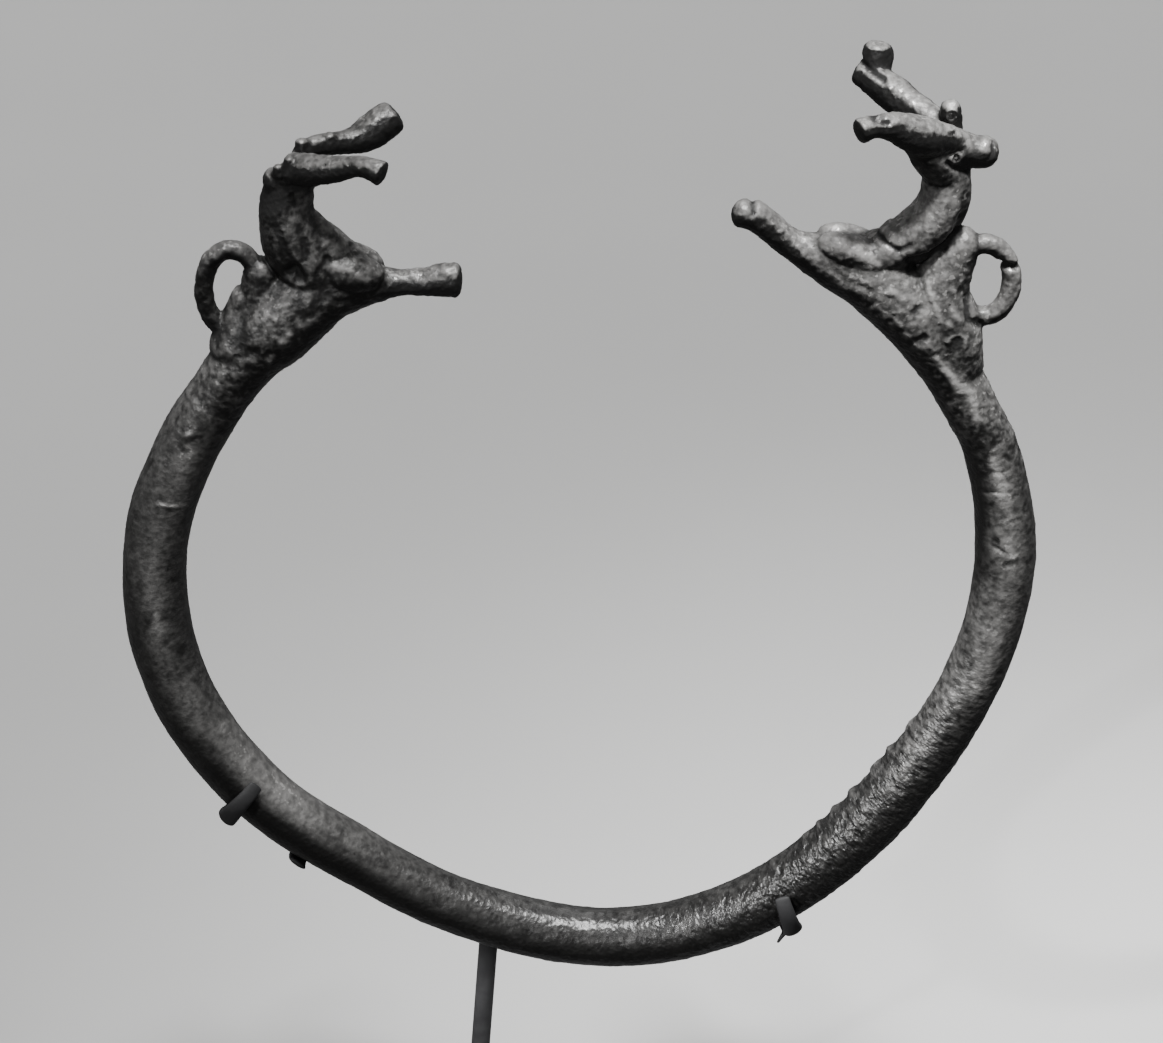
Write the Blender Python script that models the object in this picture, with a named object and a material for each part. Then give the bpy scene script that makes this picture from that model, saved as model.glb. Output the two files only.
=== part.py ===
"""Open cast bronze bracelet whose two ends are lying horned beasts, upright on its bent-wire cradle.

The band is a round bar on a slightly uneven ring. Each end swells into a beast that lies along
the ring: forelegs stretched to the gap, neck raised, head turned back, two horns swept over the
gap and the tail curled into a loop. The ring leans back in a cradle of painted wire, whose rod
stands in a plain foot.

Metres, +Z up, +Y away from the viewer. The origin is at the centre of the foot's underside.
"""
import math
from dataclasses import dataclass

import bmesh
import bpy
from mathutils import Matrix, Vector

MM = 0.001
BACK = Vector((0.0, 1.0, 0.0))

# Band
INNER_WIDTH = 62.0 * MM
BAND_DIAMETER = 4.9 * MM

# Beasts, from the hoof's tip to the back of the tail loop
LEFT_BEAST_LENGTH = 21.5 * MM
RIGHT_BEAST_LENGTH = 23.3 * MM

# Cradle
WIRE_DIAMETER = 1.4 * MM
ROD_DIAMETER = 1.55 * MM
CLAW_THICKNESS = 1.0 * MM
CLAW_WIDTH = 1.4 * MM
CLAW_TIP_SHARE = 0.45
CLAW_FLATTENING_SHARE = 0.4
CLAW_TAPER_SHARE = 0.625
STUB_THICKNESS = 0.5 * MM
SPIKE_DIAMETER = 0.5 * MM
SPIKE_TIP_SHARE = 0.5
SPIKE_LENGTH = 1.1 * MM
ROD_LEAN = math.radians(3.8)

# Stand
LEAN_BACK = math.radians(10.0)
CLEAR_HEIGHT = 29.5 * MM
FOOT_WIDTH = 48.0 * MM
FOOT_DEPTH = 30.0 * MM
FOOT_THICKNESS = 3.0 * MM
FOOT_CORNER = 3.0 * MM
FOOT_EDGE = 0.4 * MM
SOCKET_SHARE = 0.6

# Every touching pair of pieces keeps this gap
FIT_GAP = 0.3 * MM

# Fineness of the cast surface
CAST_VOXEL = 0.26 * MM
CAST_TRIANGLES = 7000
CAST_SOFTENING = 3

# Fineness of the swept shapes: rows between two points of a course, and faces round a section
BAND_ROWS = 12
LIMB_ROWS = 7
BEND_ROWS = 4
CAP_ROWS = 4
BAND_SIDES = 28
LIMB_SIDES = 20
WIRE_SIDES = 14
ROD_SIDES = 20
SPIKE_SIDES = 10
SOCKET_SIDES = 24
LOOP_ROWS = 40
LOOP_SIDES = 12
BOSS_SIDES = 28
BOSS_ROWS = 16
CORNER_ROWS = 6
EDGE_ROWS = 2

# How far an end bulges, as a share of a half ball
FLAT_END = 0.0
HOOF_END = 0.6
WIRE_END = 0.7
BALL_END = 1.0

# The ring's course, from the left end round the bottom to the right end: the angle from the
# bottom in degrees, then the reach from the ring's centre as a share of half its width across
# the bar's middle, then the girth as a share of the bar's diameter
BAND_COURSE = (
    (-115.4, 0.941, 1.00),
    (-105.0, 0.966, 1.03),
    (-90.0, 1.000, 1.05),
    (-70.0, 1.019, 1.04),
    (-50.0, 1.006, 1.01),
    (-34.0, 0.985, 0.98),
    (-17.0, 1.010, 0.96),
    (5.0, 1.060, 0.99),
    (22.0, 1.053, 1.03),
    (40.0, 1.010, 1.06),
    (55.0, 0.988, 1.01),
    (72.0, 0.990, 0.95),
    (90.0, 1.000, 0.98),
    (107.9, 0.998, 0.88),
)

# The cradle wire's course from the left claw's tip to the right claw's: the angle round the
# ring and the angle round the bar, both in degrees. Round the bar, 0 is the ring's outer edge,
# 90 the back and -90 the front. The first and last few stretches are the claws.
WIRE_TURN = 61.0
WIRE_COURSE = (
    (-53.0, -116.0),
    (-52.2, -75.0),
    (-50.8, -30.0),
    (-49.8, 5.0),
    (-48.4, 38.0),
    (-45.0, 58.0),
    (-38.0, WIRE_TURN),
    (-12.0, WIRE_TURN),
    (16.0, WIRE_TURN),
    (22.0, 58.0),
    (25.4, 38.0),
    (26.4, 5.0),
    (27.2, -30.0),
    (27.9, -68.0),
    (28.6, -104.0),
)
CLAW_STRETCHES = 4
ROD_ANGLE = -11.8
STUB_COURSE = ((-39.0, WIRE_TURN), (-39.2, 20.0), (-39.4, -16.0))
SPIKE_ROOT = (25.9, -6.0)
SPIKE_ANGLE = 24.4


@dataclass(frozen=True)
class Beast:
    """One end of the bracelet. Its limbs are in hundredths of the beast's own length.

    A limb is a row of (towards the gap, away from the viewer, up, radius), measured from the
    point where the band ends. A loop or an oval is (towards the gap, away, up, half length,
    half height, thickness).
    """

    length: float
    side: int
    root: tuple
    body: tuple
    haunch: tuple
    neck: tuple
    head: tuple
    near_horn: tuple
    far_horn: tuple
    ear: tuple
    tail_loop: tuple
    shoulder: tuple
    shoulder_slope: float


LEFT_BEAST = Beast(
    length=LEFT_BEAST_LENGTH,
    side=-1,
    root=BAND_COURSE[0],
    body=((0, 0, 0, 11), (12, 0, 18, 12), (22.5, 0, 30, 14.5), (32.5, 0, 40, 14.5), (45, 0, 46, 11.5),
          (65.5, 0, 47.3, 4.8), (75.5, 0, 48, 5.2), (87.5, 0, 48.5, 6.2)),
    haunch=((10, 0, 23, 11), (17, 0, 39, 8), (18.5, 0, 51, 7)),
    neck=((36.5, 0, 53.5, 12), (30.5, 0, 64.5, 12), (27.5, 0, 75, 10), (28.5, 0, 84.5, 8.5)),
    head=((37.5, 0, 91.5, 5.3), (30, 0, 90.5, 5.7), (24.5, 0, 86.5, 5.3)),
    near_horn=((33.5, -4.5, 94.5, 5), (43.5, -9.5, 96.5, 5), (53, -14, 100.5, 3.6), (62, -20.5, 100, 3.2)),
    far_horn=((33, 4.5, 91.5, 4.3), (34, 9.5, 96.5, 3), (40.5, 12, 96.5, 3.6), (49.5, 16, 96, 4.7),
              (57.5, 20.5, 97.3, 6.0), (63.5, 23.5, 100, 5.5)),
    ear=((33.5, 4.5, 94, 2.8), (34.5, 4.5, 101.5, 2.5)),
    tail_loop=(7.7, 0, 45, 10.0, 16.0, 3.7),
    shoulder=(51, 4.0, 52.5, 12.5, 7.3, 7.0),
    shoulder_slope=math.radians(-8.0),
)

RIGHT_BEAST = Beast(
    length=RIGHT_BEAST_LENGTH,
    side=1,
    root=BAND_COURSE[-1],
    body=((0, 0, 0, 9), (11.5, 0, 23, 9.3), (22.5, 0, 42.3, 11.6), (37.5, 0, 58.2, 12.1), (52, 0, 65.2, 9.1),
          (66.5, 0, 71.4, 4.4), (77.5, 0, 80.8, 4.8), (83.7, 0, 82.8, 4.3)),
    haunch=((12, 0, 29, 10), (14.5, 0, 42, 11.5), (17.5, 0, 55.5, 10.3), (11.5, 0, 71.5, 7)),
    neck=((39.5, 0, 68, 8), (28, 0, 74, 8.5), (17.5, 0, 86, 8.4), (16, 0, 103, 7.3)),
    head=((21, 0, 108, 5.5), (13.5, 0, 107, 7), (3, 0, 104.5, 5.1)),
    near_horn=((16, -4.5, 112, 4.9), (24.5, -9, 115.3, 6.1), (37, -16, 121.2, 4.1), (44.5, -20.5, 121, 3.4)),
    far_horn=((16, 4.5, 110, 4), (26.5, 13, 117.5, 4.7), (35, 19, 120, 5.7), (40.5, 22.5, 122.5, 5.3),
              (41.5, 25, 125.5, 3.6), (37.5, 27.5, 128.5, 5.1)),
    ear=((15.5, 4.5, 111.5, 2.9), (14.5, 4.5, 118, 3.1)),
    tail_loop=(3.4, 0, 59, 9.9, 13.2, 3.5),
    shoulder=(44.5, 3.8, 70, 14.0, 6.8, 7.0),
    shoulder_slope=math.radians(15.0),
)


def clear_scene():
    """Removes every object of the scene."""
    for obj in list(bpy.data.objects):
        bpy.data.objects.remove(obj, do_unlink=True)


def finish(name, colour, metallic, roughness):
    """Makes a plain material."""
    material = bpy.data.materials.new(name)
    material.use_nodes = True
    shader = material.node_tree.nodes["Principled BSDF"]
    shader.inputs["Base Color"].default_value = (*colour, 1.0)
    shader.inputs["Metallic"].default_value = metallic
    shader.inputs["Roughness"].default_value = roughness
    return material


def smooth_course(points, steps):
    """Runs a Catmull-Rom curve through rows of numbers, each row one point."""
    first = [2 * a - b for a, b in zip(points[0], points[1])]
    last = [2 * a - b for a, b in zip(points[-1], points[-2])]
    rows = [first, *points, last]
    course = []
    for before, start, end, after in zip(rows, rows[1:], rows[2:], rows[3:]):
        for step in range(steps):
            t = step / steps
            course.append(tuple(
                0.5 * (2 * b + (c - a) * t + (2 * a - 5 * b + 4 * c - d) * t ** 2
                       + (3 * b - 3 * c + d - a) * t ** 3)
                for a, b, c, d in zip(before, start, end, after)))
    course.append(tuple(float(value) for value in points[-1]))
    return course


def half_width():
    """Gives half the ring's width, measured between the bar's middles."""
    return (INNER_WIDTH + BAND_DIAMETER) / 2


def band_at(angle):
    """Gives the reach and the bar's radius at an angle in degrees, from the band's course."""
    course = smooth_course(BAND_COURSE, BAND_ROWS)
    for low, high in zip(course, course[1:]):
        if angle <= high[0]:
            break
    share = (angle - low[0]) / (high[0] - low[0])
    reach, girth = (a + (b - a) * share for a, b in zip(low[1:], high[1:]))
    return reach * half_width(), girth * BAND_DIAMETER / 2


def outward(angle):
    """Gives the direction from the ring's centre at an angle from its bottom, in the ring's frame."""
    return Vector((math.sin(math.radians(angle)), 0.0, -math.cos(math.radians(angle))))


def band_middle(angle):
    """Gives the middle of the bar at an angle, in the ring's frame."""
    return outward(angle) * band_at(angle)[0]


def round_the_bar(angle, turn, standoff):
    """Gives a place beside the bar and the direction that leads to it from the bar's middle."""
    turn = math.radians(turn)
    direction = outward(angle) * math.cos(turn) + Vector((0.0, math.sin(turn), 0.0))
    return band_middle(angle) + direction * (band_at(angle)[1] + standoff), direction


def ring_matrix():
    """Places the leaning ring above the foot."""
    drop = band_at(0.0)[0] * math.cos(LEAN_BACK)
    height = FOOT_THICKNESS + CLEAR_HEIGHT + BAND_DIAMETER / 2 + drop
    return Matrix.Translation((0.0, 0.0, height)) @ Matrix.Rotation(-LEAN_BACK, 4, "X")


def sweep(bm, places, guides, half_sizes, sides, bulge=BALL_END):
    """Runs an oval section along a path and rounds both ends.

    half_sizes holds the section's half size along the guide and across it, at every place.
    """
    count = len(places)
    frames = []
    for index, place in enumerate(places):
        along = (places[min(index + 1, count - 1)] - places[max(index - 1, 0)]).normalized()
        up = (guides[index] - along * guides[index].dot(along)).normalized()
        frames.append((place, along, up, along.cross(up), *half_sizes[index]))

    caps = []
    for frame, sign in ((frames[0], -1), (frames[-1], 1)):
        reach = sign * min(frame[4:]) * bulge
        lifts = [math.radians(90.0 * row / CAP_ROWS) for row in range(1, CAP_ROWS)] if bulge else []
        caps.append([(frame, math.sin(lift) * reach, math.cos(lift)) for lift in lifts])
    stations = caps[0][::-1] + [(frame, 0.0, 1.0) for frame in frames] + caps[1]

    loops = []
    for (place, along, up, across, half_up, half_across), shift, shrink in stations:
        loops.append([
            bm.verts.new(place + along * shift
                         + up * math.cos(turn) * half_up * shrink
                         + across * math.sin(turn) * half_across * shrink)
            for turn in (math.tau * side / sides for side in range(sides))])
    for low, high in zip(loops, loops[1:]):
        for side in range(sides):
            after = (side + 1) % sides
            bm.faces.new((low[side], low[after], high[after], high[side]))
    for loop, frame, sign in ((loops[0][::-1], frames[0], -1), (loops[-1], frames[-1], 1)):
        pole = bm.verts.new(frame[0] + frame[1] * sign * min(frame[4:]) * bulge)
        for side in range(sides):
            bm.faces.new((loop[side], loop[(side + 1) % sides], pole))


def limb(bm, points, bulge=BALL_END):
    """Makes a round limb through rows of a place and a radius, in the ring's frame."""
    course = smooth_course([(*place, radius) for place, radius in points], LIMB_ROWS)
    places = [Vector(row[:3]) for row in course]
    sweep(bm, places, [BACK] * len(places), [(row[3], row[3]) for row in course], LIMB_SIDES, bulge)


def hoop(bm, centre, half_length, half_height, radius):
    """Makes a closed oval ring of round section, standing in the ring's plane."""
    loops = []
    for row in range(LOOP_ROWS):
        turn = math.tau * row / LOOP_ROWS
        middle = centre + Vector((math.cos(turn) * half_length, 0.0, math.sin(turn) * half_height))
        away = Vector((math.cos(turn) * half_height, 0.0, math.sin(turn) * half_length)).normalized()
        loops.append([
            bm.verts.new(middle + (away * math.cos(spin) + BACK * math.sin(spin)) * radius)
            for spin in (math.tau * side / LOOP_SIDES for side in range(LOOP_SIDES))])
    for low, high in zip(loops, loops[1:] + loops[:1]):
        for side in range(LOOP_SIDES):
            after = (side + 1) % LOOP_SIDES
            bm.faces.new((low[side], high[side], high[after], low[after]))


def boss(bm, centre, half_sizes, slope):
    """Makes an oval swelling."""
    place = Matrix.Translation(centre) @ Matrix.Rotation(-slope, 4, "Y") @ Matrix.Diagonal((*half_sizes, 1.0))
    bmesh.ops.create_uvsphere(bm, u_segments=BOSS_SIDES, v_segments=BOSS_ROWS, radius=1.0, matrix=place)


def band(bm):
    """Makes the bar of the ring."""
    course = smooth_course(BAND_COURSE, LIMB_ROWS)
    places = [outward(row[0]) * row[1] * half_width() for row in course]
    radii = [row[2] * BAND_DIAMETER / 2 for row in course]
    sweep(bm, places, [BACK] * len(places), [(radius, radius) for radius in radii], BAND_SIDES)


def beast(bm, pose):
    """Makes one beast at its end of the band."""
    unit = pose.length / 100
    origin = band_middle(pose.root[0])

    def place(gap, away, up):
        return origin + Vector((-pose.side * gap, away, up)) * unit

    for points in (pose.haunch, pose.neck, pose.head, pose.near_horn, pose.far_horn, pose.ear):
        limb(bm, [(place(*row[:3]), row[3] * unit) for row in points])
    limb(bm, [(place(*row[:3]), row[3] * unit) for row in pose.body], HOOF_END)

    gap, away, up, half_length, half_height, thickness = pose.tail_loop
    hoop(bm, place(gap, away, up), half_length * unit, half_height * unit, thickness * unit)

    gap, away, up, half_length, half_height, thickness = pose.shoulder
    slope = -pose.side * pose.shoulder_slope
    for face in (-1, 1):
        boss(bm, place(gap, face * away, up),
             (half_length * unit, thickness * unit, half_height * unit), slope)


def new_object(name, bm, material):
    """Turns a bmesh into a named object."""
    mesh = bpy.data.meshes.new(name)
    bmesh.ops.recalc_face_normals(bm, faces=bm.faces)
    bm.to_mesh(mesh)
    bm.free()
    obj = bpy.data.objects.new(name, mesh)
    bpy.context.scene.collection.objects.link(obj)
    mesh.materials.append(material)
    return obj


def evaluated_triangles(obj):
    """Counts the triangles of an object with its modifiers."""
    mesh = obj.evaluated_get(bpy.context.evaluated_depsgraph_get()).data
    mesh.calc_loop_triangles()
    return len(mesh.loop_triangles)


def fuse_casting(obj):
    """Melts an object's overlapping limbs into one cast skin and thins its triangles."""
    melt = obj.modifiers.new("Melt", "REMESH")
    melt.mode = "VOXEL"
    melt.voxel_size = CAST_VOXEL
    melt.use_smooth_shade = True
    soften = obj.modifiers.new("Soften", "SMOOTH")
    soften.factor = 0.5
    soften.iterations = CAST_SOFTENING
    thin = obj.modifiers.new("Thin", "DECIMATE")
    thin.ratio = min(1.0, CAST_TRIANGLES / evaluated_triangles(obj))


def add_union(obj, name, bm, material):
    """Joins one more closed shape onto an object."""
    other = new_object(name, bm, material)
    other.matrix_world = obj.matrix_world
    other.hide_render = True
    other.display_type = "WIRE"
    union = obj.modifiers.new(name, "BOOLEAN")
    union.operation = "UNION"
    union.solver = "EXACT"
    union.object = other


def build_bracelet(material):
    """Builds the bracelet, one casting."""
    bm = bmesh.new()
    band(bm)
    beast(bm, LEFT_BEAST)
    beast(bm, RIGHT_BEAST)
    obj = new_object("bracelet", bm, material)
    obj.matrix_world = ring_matrix()
    fuse_casting(obj)
    return obj


def bend_round_bar(bm, course, section):
    """Bends wire or strip round the bar along a course of (ring angle, bar angle).

    section gives the half thickness and half width at a share of the way along the course.
    """
    rows = smooth_course(course, BEND_ROWS)
    places, guides, half_sizes = [], [], []
    for index, (angle, turn) in enumerate(rows):
        half_thick, half_wide = section(index / (len(rows) - 1))
        place, direction = round_the_bar(angle, turn, FIT_GAP + half_thick)
        places.append(place)
        guides.append(direction)
        half_sizes.append((half_thick, half_wide))
    sweep(bm, places, guides, half_sizes, WIRE_SIDES, WIRE_END)


def wire_section(share):
    """Gives the wire's half thickness and half width: round between the claws, flat in them."""
    claw_share = CLAW_STRETCHES / (len(WIRE_COURSE) - 1)
    into_claw = max(claw_share - share, share - 1.0 + claw_share, 0.0) / claw_share
    flat = min(1.0, into_claw / CLAW_FLATTENING_SHARE)
    taper = max(0.0, 1.0 - (1.0 - into_claw) / CLAW_TAPER_SHARE)
    thinned = 1.0 - (1.0 - CLAW_TIP_SHARE) * taper
    half_thick = (WIRE_DIAMETER + (CLAW_THICKNESS - WIRE_DIAMETER) * flat) / 2 * thinned
    half_wide = (WIRE_DIAMETER + (CLAW_WIDTH - WIRE_DIAMETER) * flat) / 2 * (1.0 + thinned) / 2
    return half_thick, half_wide


def build_cradle(material):
    """Builds the cradle: the wire with its two claws, the stub, the spike and the rod."""
    bm = bmesh.new()
    bend_round_bar(bm, WIRE_COURSE, wire_section)
    obj = new_object("cradle", bm, material)
    obj.matrix_world = ring_matrix()

    bm = bmesh.new()
    bend_round_bar(bm, STUB_COURSE, lambda share: (STUB_THICKNESS / 2, CLAW_WIDTH / 2))
    add_union(obj, "cradle_stub", bm, material)

    bm = bmesh.new()
    root, _ = round_the_bar(*SPIKE_ROOT, FIT_GAP + CLAW_THICKNESS / 2)
    tip, _ = round_the_bar(SPIKE_ANGLE, SPIKE_ROOT[1], FIT_GAP + SPIKE_LENGTH)
    radius = SPIKE_DIAMETER / 2
    straight_bar(bm, root, tip, radius, radius * SPIKE_TIP_SHARE, SPIKE_SIDES, BALL_END)
    add_union(obj, "cradle_spike", bm, material)

    bm = bmesh.new()
    to_ring = obj.matrix_world.inverted()
    head, end = rod_ends()
    radius = ROD_DIAMETER / 2
    straight_bar(bm, to_ring @ head, to_ring @ end, radius, radius, ROD_SIDES, FLAT_END)
    add_union(obj, "cradle_rod", bm, material)
    return obj


def straight_bar(bm, start, end, start_radius, end_radius, sides, bulge):
    """Makes a straight round bar or cone."""
    sweep(bm, [start, end], [BACK] * 2,
          [(start_radius, start_radius), (end_radius, end_radius)], sides, bulge)


def rod_ends():
    """Gives the middle of the rod's upper end, beside the wire, and of its lower end in the socket."""
    head, _ = round_the_bar(ROD_ANGLE, WIRE_TURN, FIT_GAP + max(WIRE_DIAMETER, ROD_DIAMETER) / 2)
    head = ring_matrix() @ head
    floor = FOOT_THICKNESS * (1.0 - SOCKET_SHARE) + FIT_GAP
    return head, Vector((head.x - (head.z - floor) * math.tan(ROD_LEAN), head.y, floor))


def build_foot(material):
    """Builds the foot: a plate with rounded corners and a socket for the rod."""
    bm = bmesh.new()
    size = Matrix.Diagonal((FOOT_WIDTH, FOOT_DEPTH, FOOT_THICKNESS, 1.0))
    bmesh.ops.create_cube(bm, size=1.0, matrix=Matrix.Translation((0.0, 0.0, FOOT_THICKNESS / 2)) @ size)
    half = FOOT_THICKNESS / 2
    upright = [edge for edge in bm.edges if abs(edge.verts[0].co.z - edge.verts[1].co.z) > half]
    bmesh.ops.bevel(bm, geom=upright, offset=FOOT_CORNER, segments=CORNER_ROWS, profile=0.5, affect="EDGES")
    top = [edge for edge in bm.edges if all(vert.co.z > half for vert in edge.verts)]
    bmesh.ops.bevel(bm, geom=top, offset=FOOT_EDGE, segments=EDGE_ROWS, profile=0.5, affect="EDGES")
    obj = new_object("foot", bm, material)

    head, end = rod_ends()
    along = (head - end).normalized()
    bm = bmesh.new()
    radius = ROD_DIAMETER / 2 + FIT_GAP
    straight_bar(bm, end - along * FIT_GAP, end + along * 2 * FOOT_THICKNESS,
                 radius, radius, SOCKET_SIDES, FLAT_END)
    cutter = new_object("foot_socket", bm, material)
    cutter.hide_render = True
    cutter.display_type = "WIRE"
    socket = obj.modifiers.new("Socket", "BOOLEAN")
    socket.operation = "DIFFERENCE"
    socket.solver = "EXACT"
    socket.object = cutter
    return obj


def main():
    """Builds the three pieces."""
    clear_scene()
    bronze = finish("corroded_bronze", (0.055, 0.048, 0.042), 0.85, 0.45)
    paint = finish("grey_paint", (0.10, 0.10, 0.105), 0.0, 0.5)
    build_bracelet(bronze)
    build_cradle(paint)
    build_foot(paint)


main()
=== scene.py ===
"""Finished looks of an open cast bronze bracelet with a lying horned beast at each end, on its cradle.

The band and every limb follow courses of rows. They are swept, melted into one casting, carved with the
marks on the beasts and the knocks on the bar, and given the uneven skin of old corroded bronze. The
painted cradle of bent wire and the foot are built round it.

Pieces are made in millimetres, and are put in place in metres.
"""

import logging
import math
from collections.abc import Sequence
from dataclasses import dataclass
from enum import Enum

import bmesh
import bpy
import numpy as np
from mathutils import Matrix, Vector


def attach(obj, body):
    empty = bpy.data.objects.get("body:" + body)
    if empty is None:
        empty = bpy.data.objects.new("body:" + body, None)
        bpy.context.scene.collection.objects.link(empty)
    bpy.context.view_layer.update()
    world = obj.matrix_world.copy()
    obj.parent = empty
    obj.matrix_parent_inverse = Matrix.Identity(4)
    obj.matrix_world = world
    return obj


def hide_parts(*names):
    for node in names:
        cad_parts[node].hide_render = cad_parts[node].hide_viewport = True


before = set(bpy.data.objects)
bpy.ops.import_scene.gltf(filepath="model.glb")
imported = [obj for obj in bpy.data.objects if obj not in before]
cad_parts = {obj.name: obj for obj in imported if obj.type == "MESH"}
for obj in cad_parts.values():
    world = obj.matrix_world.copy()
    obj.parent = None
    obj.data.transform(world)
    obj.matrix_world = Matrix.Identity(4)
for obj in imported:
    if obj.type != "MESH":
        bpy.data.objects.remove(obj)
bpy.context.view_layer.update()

LOG = logging.getLogger("bracelet")
METRES = Matrix.Scale(0.001, 4)
BACK = np.array((0.0, 1.0, 0.0))
END_LATITUDES = np.radians((20.0, 38.0, 54.0, 68.0, 79.0))
MIDDLE_NOISE = (0.3, 0.7)
MARK_REACH = 3
FACING_SLOPE = 2.5
SCAFFOLDING = ("crumble", "middle", "guide", "radius", "flat", "square")

Row = tuple[float, ...]
Colour = tuple[float, float, float]
Socket = bpy.types.NodeSocket


def smooth_course(rows: Sequence[Row], steps: int) -> np.ndarray:
    """Runs a Catmull-Rom curve through rows of numbers.

    Args:
        rows: the points, each a row of numbers.
        steps: how many rows each stretch between two points gets.

    Returns:
        The finer rows, as an array.
    """
    points = np.array(rows, float)
    points = np.vstack((2 * points[0] - points[1], points, 2 * points[-1] - points[-2]))
    t = np.linspace(0.0, 1.0, steps, endpoint=False)[:, None]
    fine = [
        0.5 * (2 * b + (c - a) * t + (2 * a - 5 * b + 4 * c - d) * t ** 2 + (3 * b - 3 * c + d - a) * t ** 3)
        for a, b, c, d in zip(points, points[1:], points[2:], points[3:])
    ]
    return np.vstack((*fine, points[-2]))


@dataclass
class Course:
    """A path with a section at every place. What is the same all along is given once.

    Half the section's size along the guide is flat times the radius. Square is 2 for an oval section, and
    the higher it is, the flatter the section's four sides.
    """

    places: np.ndarray
    radius: np.ndarray | float
    guides: np.ndarray
    flat: np.ndarray | float = 1.0
    square: np.ndarray | float = 2.0
    closed: bool = False

    @classmethod
    def through(cls, rows: np.ndarray, bulge: float, square: float = 2.0) -> "Course":
        """Makes a course with rounded ends, whose guide is as near to the back as a right angle allows.

        Args:
            rows: a place, a radius and a flatness in each row.
            bulge: how far each end stands out, as a share of a half ball.
            square: the section's squareness.

        Returns:
            The course.
        """
        ends = []
        for end, inner in ((rows[0], rows[1]), (rows[-1], rows[-2])):
            along = (end[:3] - inner[:3]) / np.linalg.norm(end[:3] - inner[:3])
            reach = np.sin(END_LATITUDES)[:, None] * end[3] * bulge
            flats = np.full(len(END_LATITUDES), end[4])
            ends.append(np.column_stack((end[:3] + along * reach, np.cos(END_LATITUDES) * end[3], flats)))
        rows = np.vstack((ends[0][::-1], rows, ends[1]))
        runs = np.gradient(rows[:, :3], axis=0)
        runs /= np.linalg.norm(runs, axis=1)[:, None]
        guides = BACK - runs * (runs @ BACK)[:, None]
        guides /= np.linalg.norm(guides, axis=1)[:, None]
        return cls(rows[:, :3], rows[:, 3], guides, rows[:, 4], square)


class Weaver:
    """Adds nodes to a node tree and links their sockets."""

    def __init__(self, tree: bpy.types.NodeTree) -> None:
        """Keeps the node tree to fill."""
        self.tree = tree

    def feed(self, node: bpy.types.Node, inputs: dict) -> None:
        """Sets or links a node's inputs.

        Args:
            node: the node.
            inputs: a value or a socket for each input, by its place or its name.
        """
        for key, value in inputs.items():
            if isinstance(value, Socket):
                self.tree.links.new(value, node.inputs[key])
            else:
                node.inputs[key].default_value = value

    def add(self, kind: str, inputs: dict | None = None, **settings: object) -> bpy.types.Node:
        """Adds one node.

        Args:
            kind: the node's type.
            inputs: what feeds it.
            settings: the node's own options.

        Returns:
            The node.
        """
        node = self.tree.nodes.new(kind)
        for option, value in settings.items():
            setattr(node, option, value)
        self.feed(node, inputs or {})
        return node

    def maths(self, operation: str, *values: object) -> Socket:
        """Works out a number from others."""
        return self.add("ShaderNodeMath", dict(enumerate(values)), operation=operation).outputs[0]

    def vector(self, operation: str, *values: object) -> Socket:
        """Works out a vector from others."""
        return self.add("ShaderNodeVectorMath", dict(enumerate(values)), operation=operation).outputs[0]

    def scaled(self, vector: Socket, factor: object) -> Socket:
        """Multiplies a vector by a number."""
        return self.add("ShaderNodeVectorMath", {0: vector, "Scale": factor}, operation="SCALE").outputs[0]

    def remap(self, value: object, low: float, high: float, start: float, end: float,
              smooth: bool = True) -> Socket:
        """Maps a stretch of values onto another.

        Args:
            value: the socket to map.
            low: where the stretch starts.
            high: where it ends.
            start: what low becomes.
            end: what high becomes.
            smooth: whether the ends are eased.

        Returns:
            The mapped value.
        """
        kind = "SMOOTHSTEP" if smooth else "LINEAR"
        node = self.add("ShaderNodeMapRange", {0: value, 1: low, 2: high, 3: start, 4: end},
                        interpolation_type=kind)
        return node.outputs[0]

    def blend(self, share: object, *colours: Colour | Socket) -> Socket:
        """Mixes two colours.

        Args:
            share: how much of the second colour there is.
            colours: the first colour and the second.

        Returns:
            The mixed colour.
        """
        node = self.add("ShaderNodeMix", {0: share}, data_type="RGBA")
        places = [place for place, socket in enumerate(node.inputs) if socket.type == "RGBA"]
        filled = [colour if isinstance(colour, Socket) else (*colour, 1.0) for colour in colours]
        self.feed(node, dict(zip(places, filled)))
        return next(socket for socket in node.outputs if socket.type == "RGBA")

    def noise(self, where: object, scale: float, detail: float, seed: object) -> Socket:
        """Makes noise from 0 to 1, with so many lumps for each unit of length and finer layers on them."""
        inputs = {"Vector": where, "W": seed, "Scale": scale, "Detail": detail}
        return self.add("ShaderNodeTexNoise", inputs, noise_dimensions="4D").outputs["Fac"]

    def cloud(self, where: object, scale: float, detail: float, seed: object, *ends: float) -> Socket:
        """Makes noise whose middle values run between two ends."""
        return self.remap(self.noise(where, scale, detail, seed), *MIDDLE_NOISE, *ends)

    def read(self, name: str, output: str = "Fac") -> Socket:
        """Reads one of the mesh's attributes in a material."""
        return self.add("ShaderNodeAttribute", attribute_name=name).outputs[output]


def fresh_material(name: str) -> tuple[bpy.types.Material, Weaver, bpy.types.Node]:
    """Makes a material.

    Args:
        name: its name.

    Returns:
        The material, a weaver for its nodes, and its shader.
    """
    material = bpy.data.materials.new(name)
    material.use_nodes = True
    return material, Weaver(material.node_tree), material.node_tree.nodes["Principled BSDF"]


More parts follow.
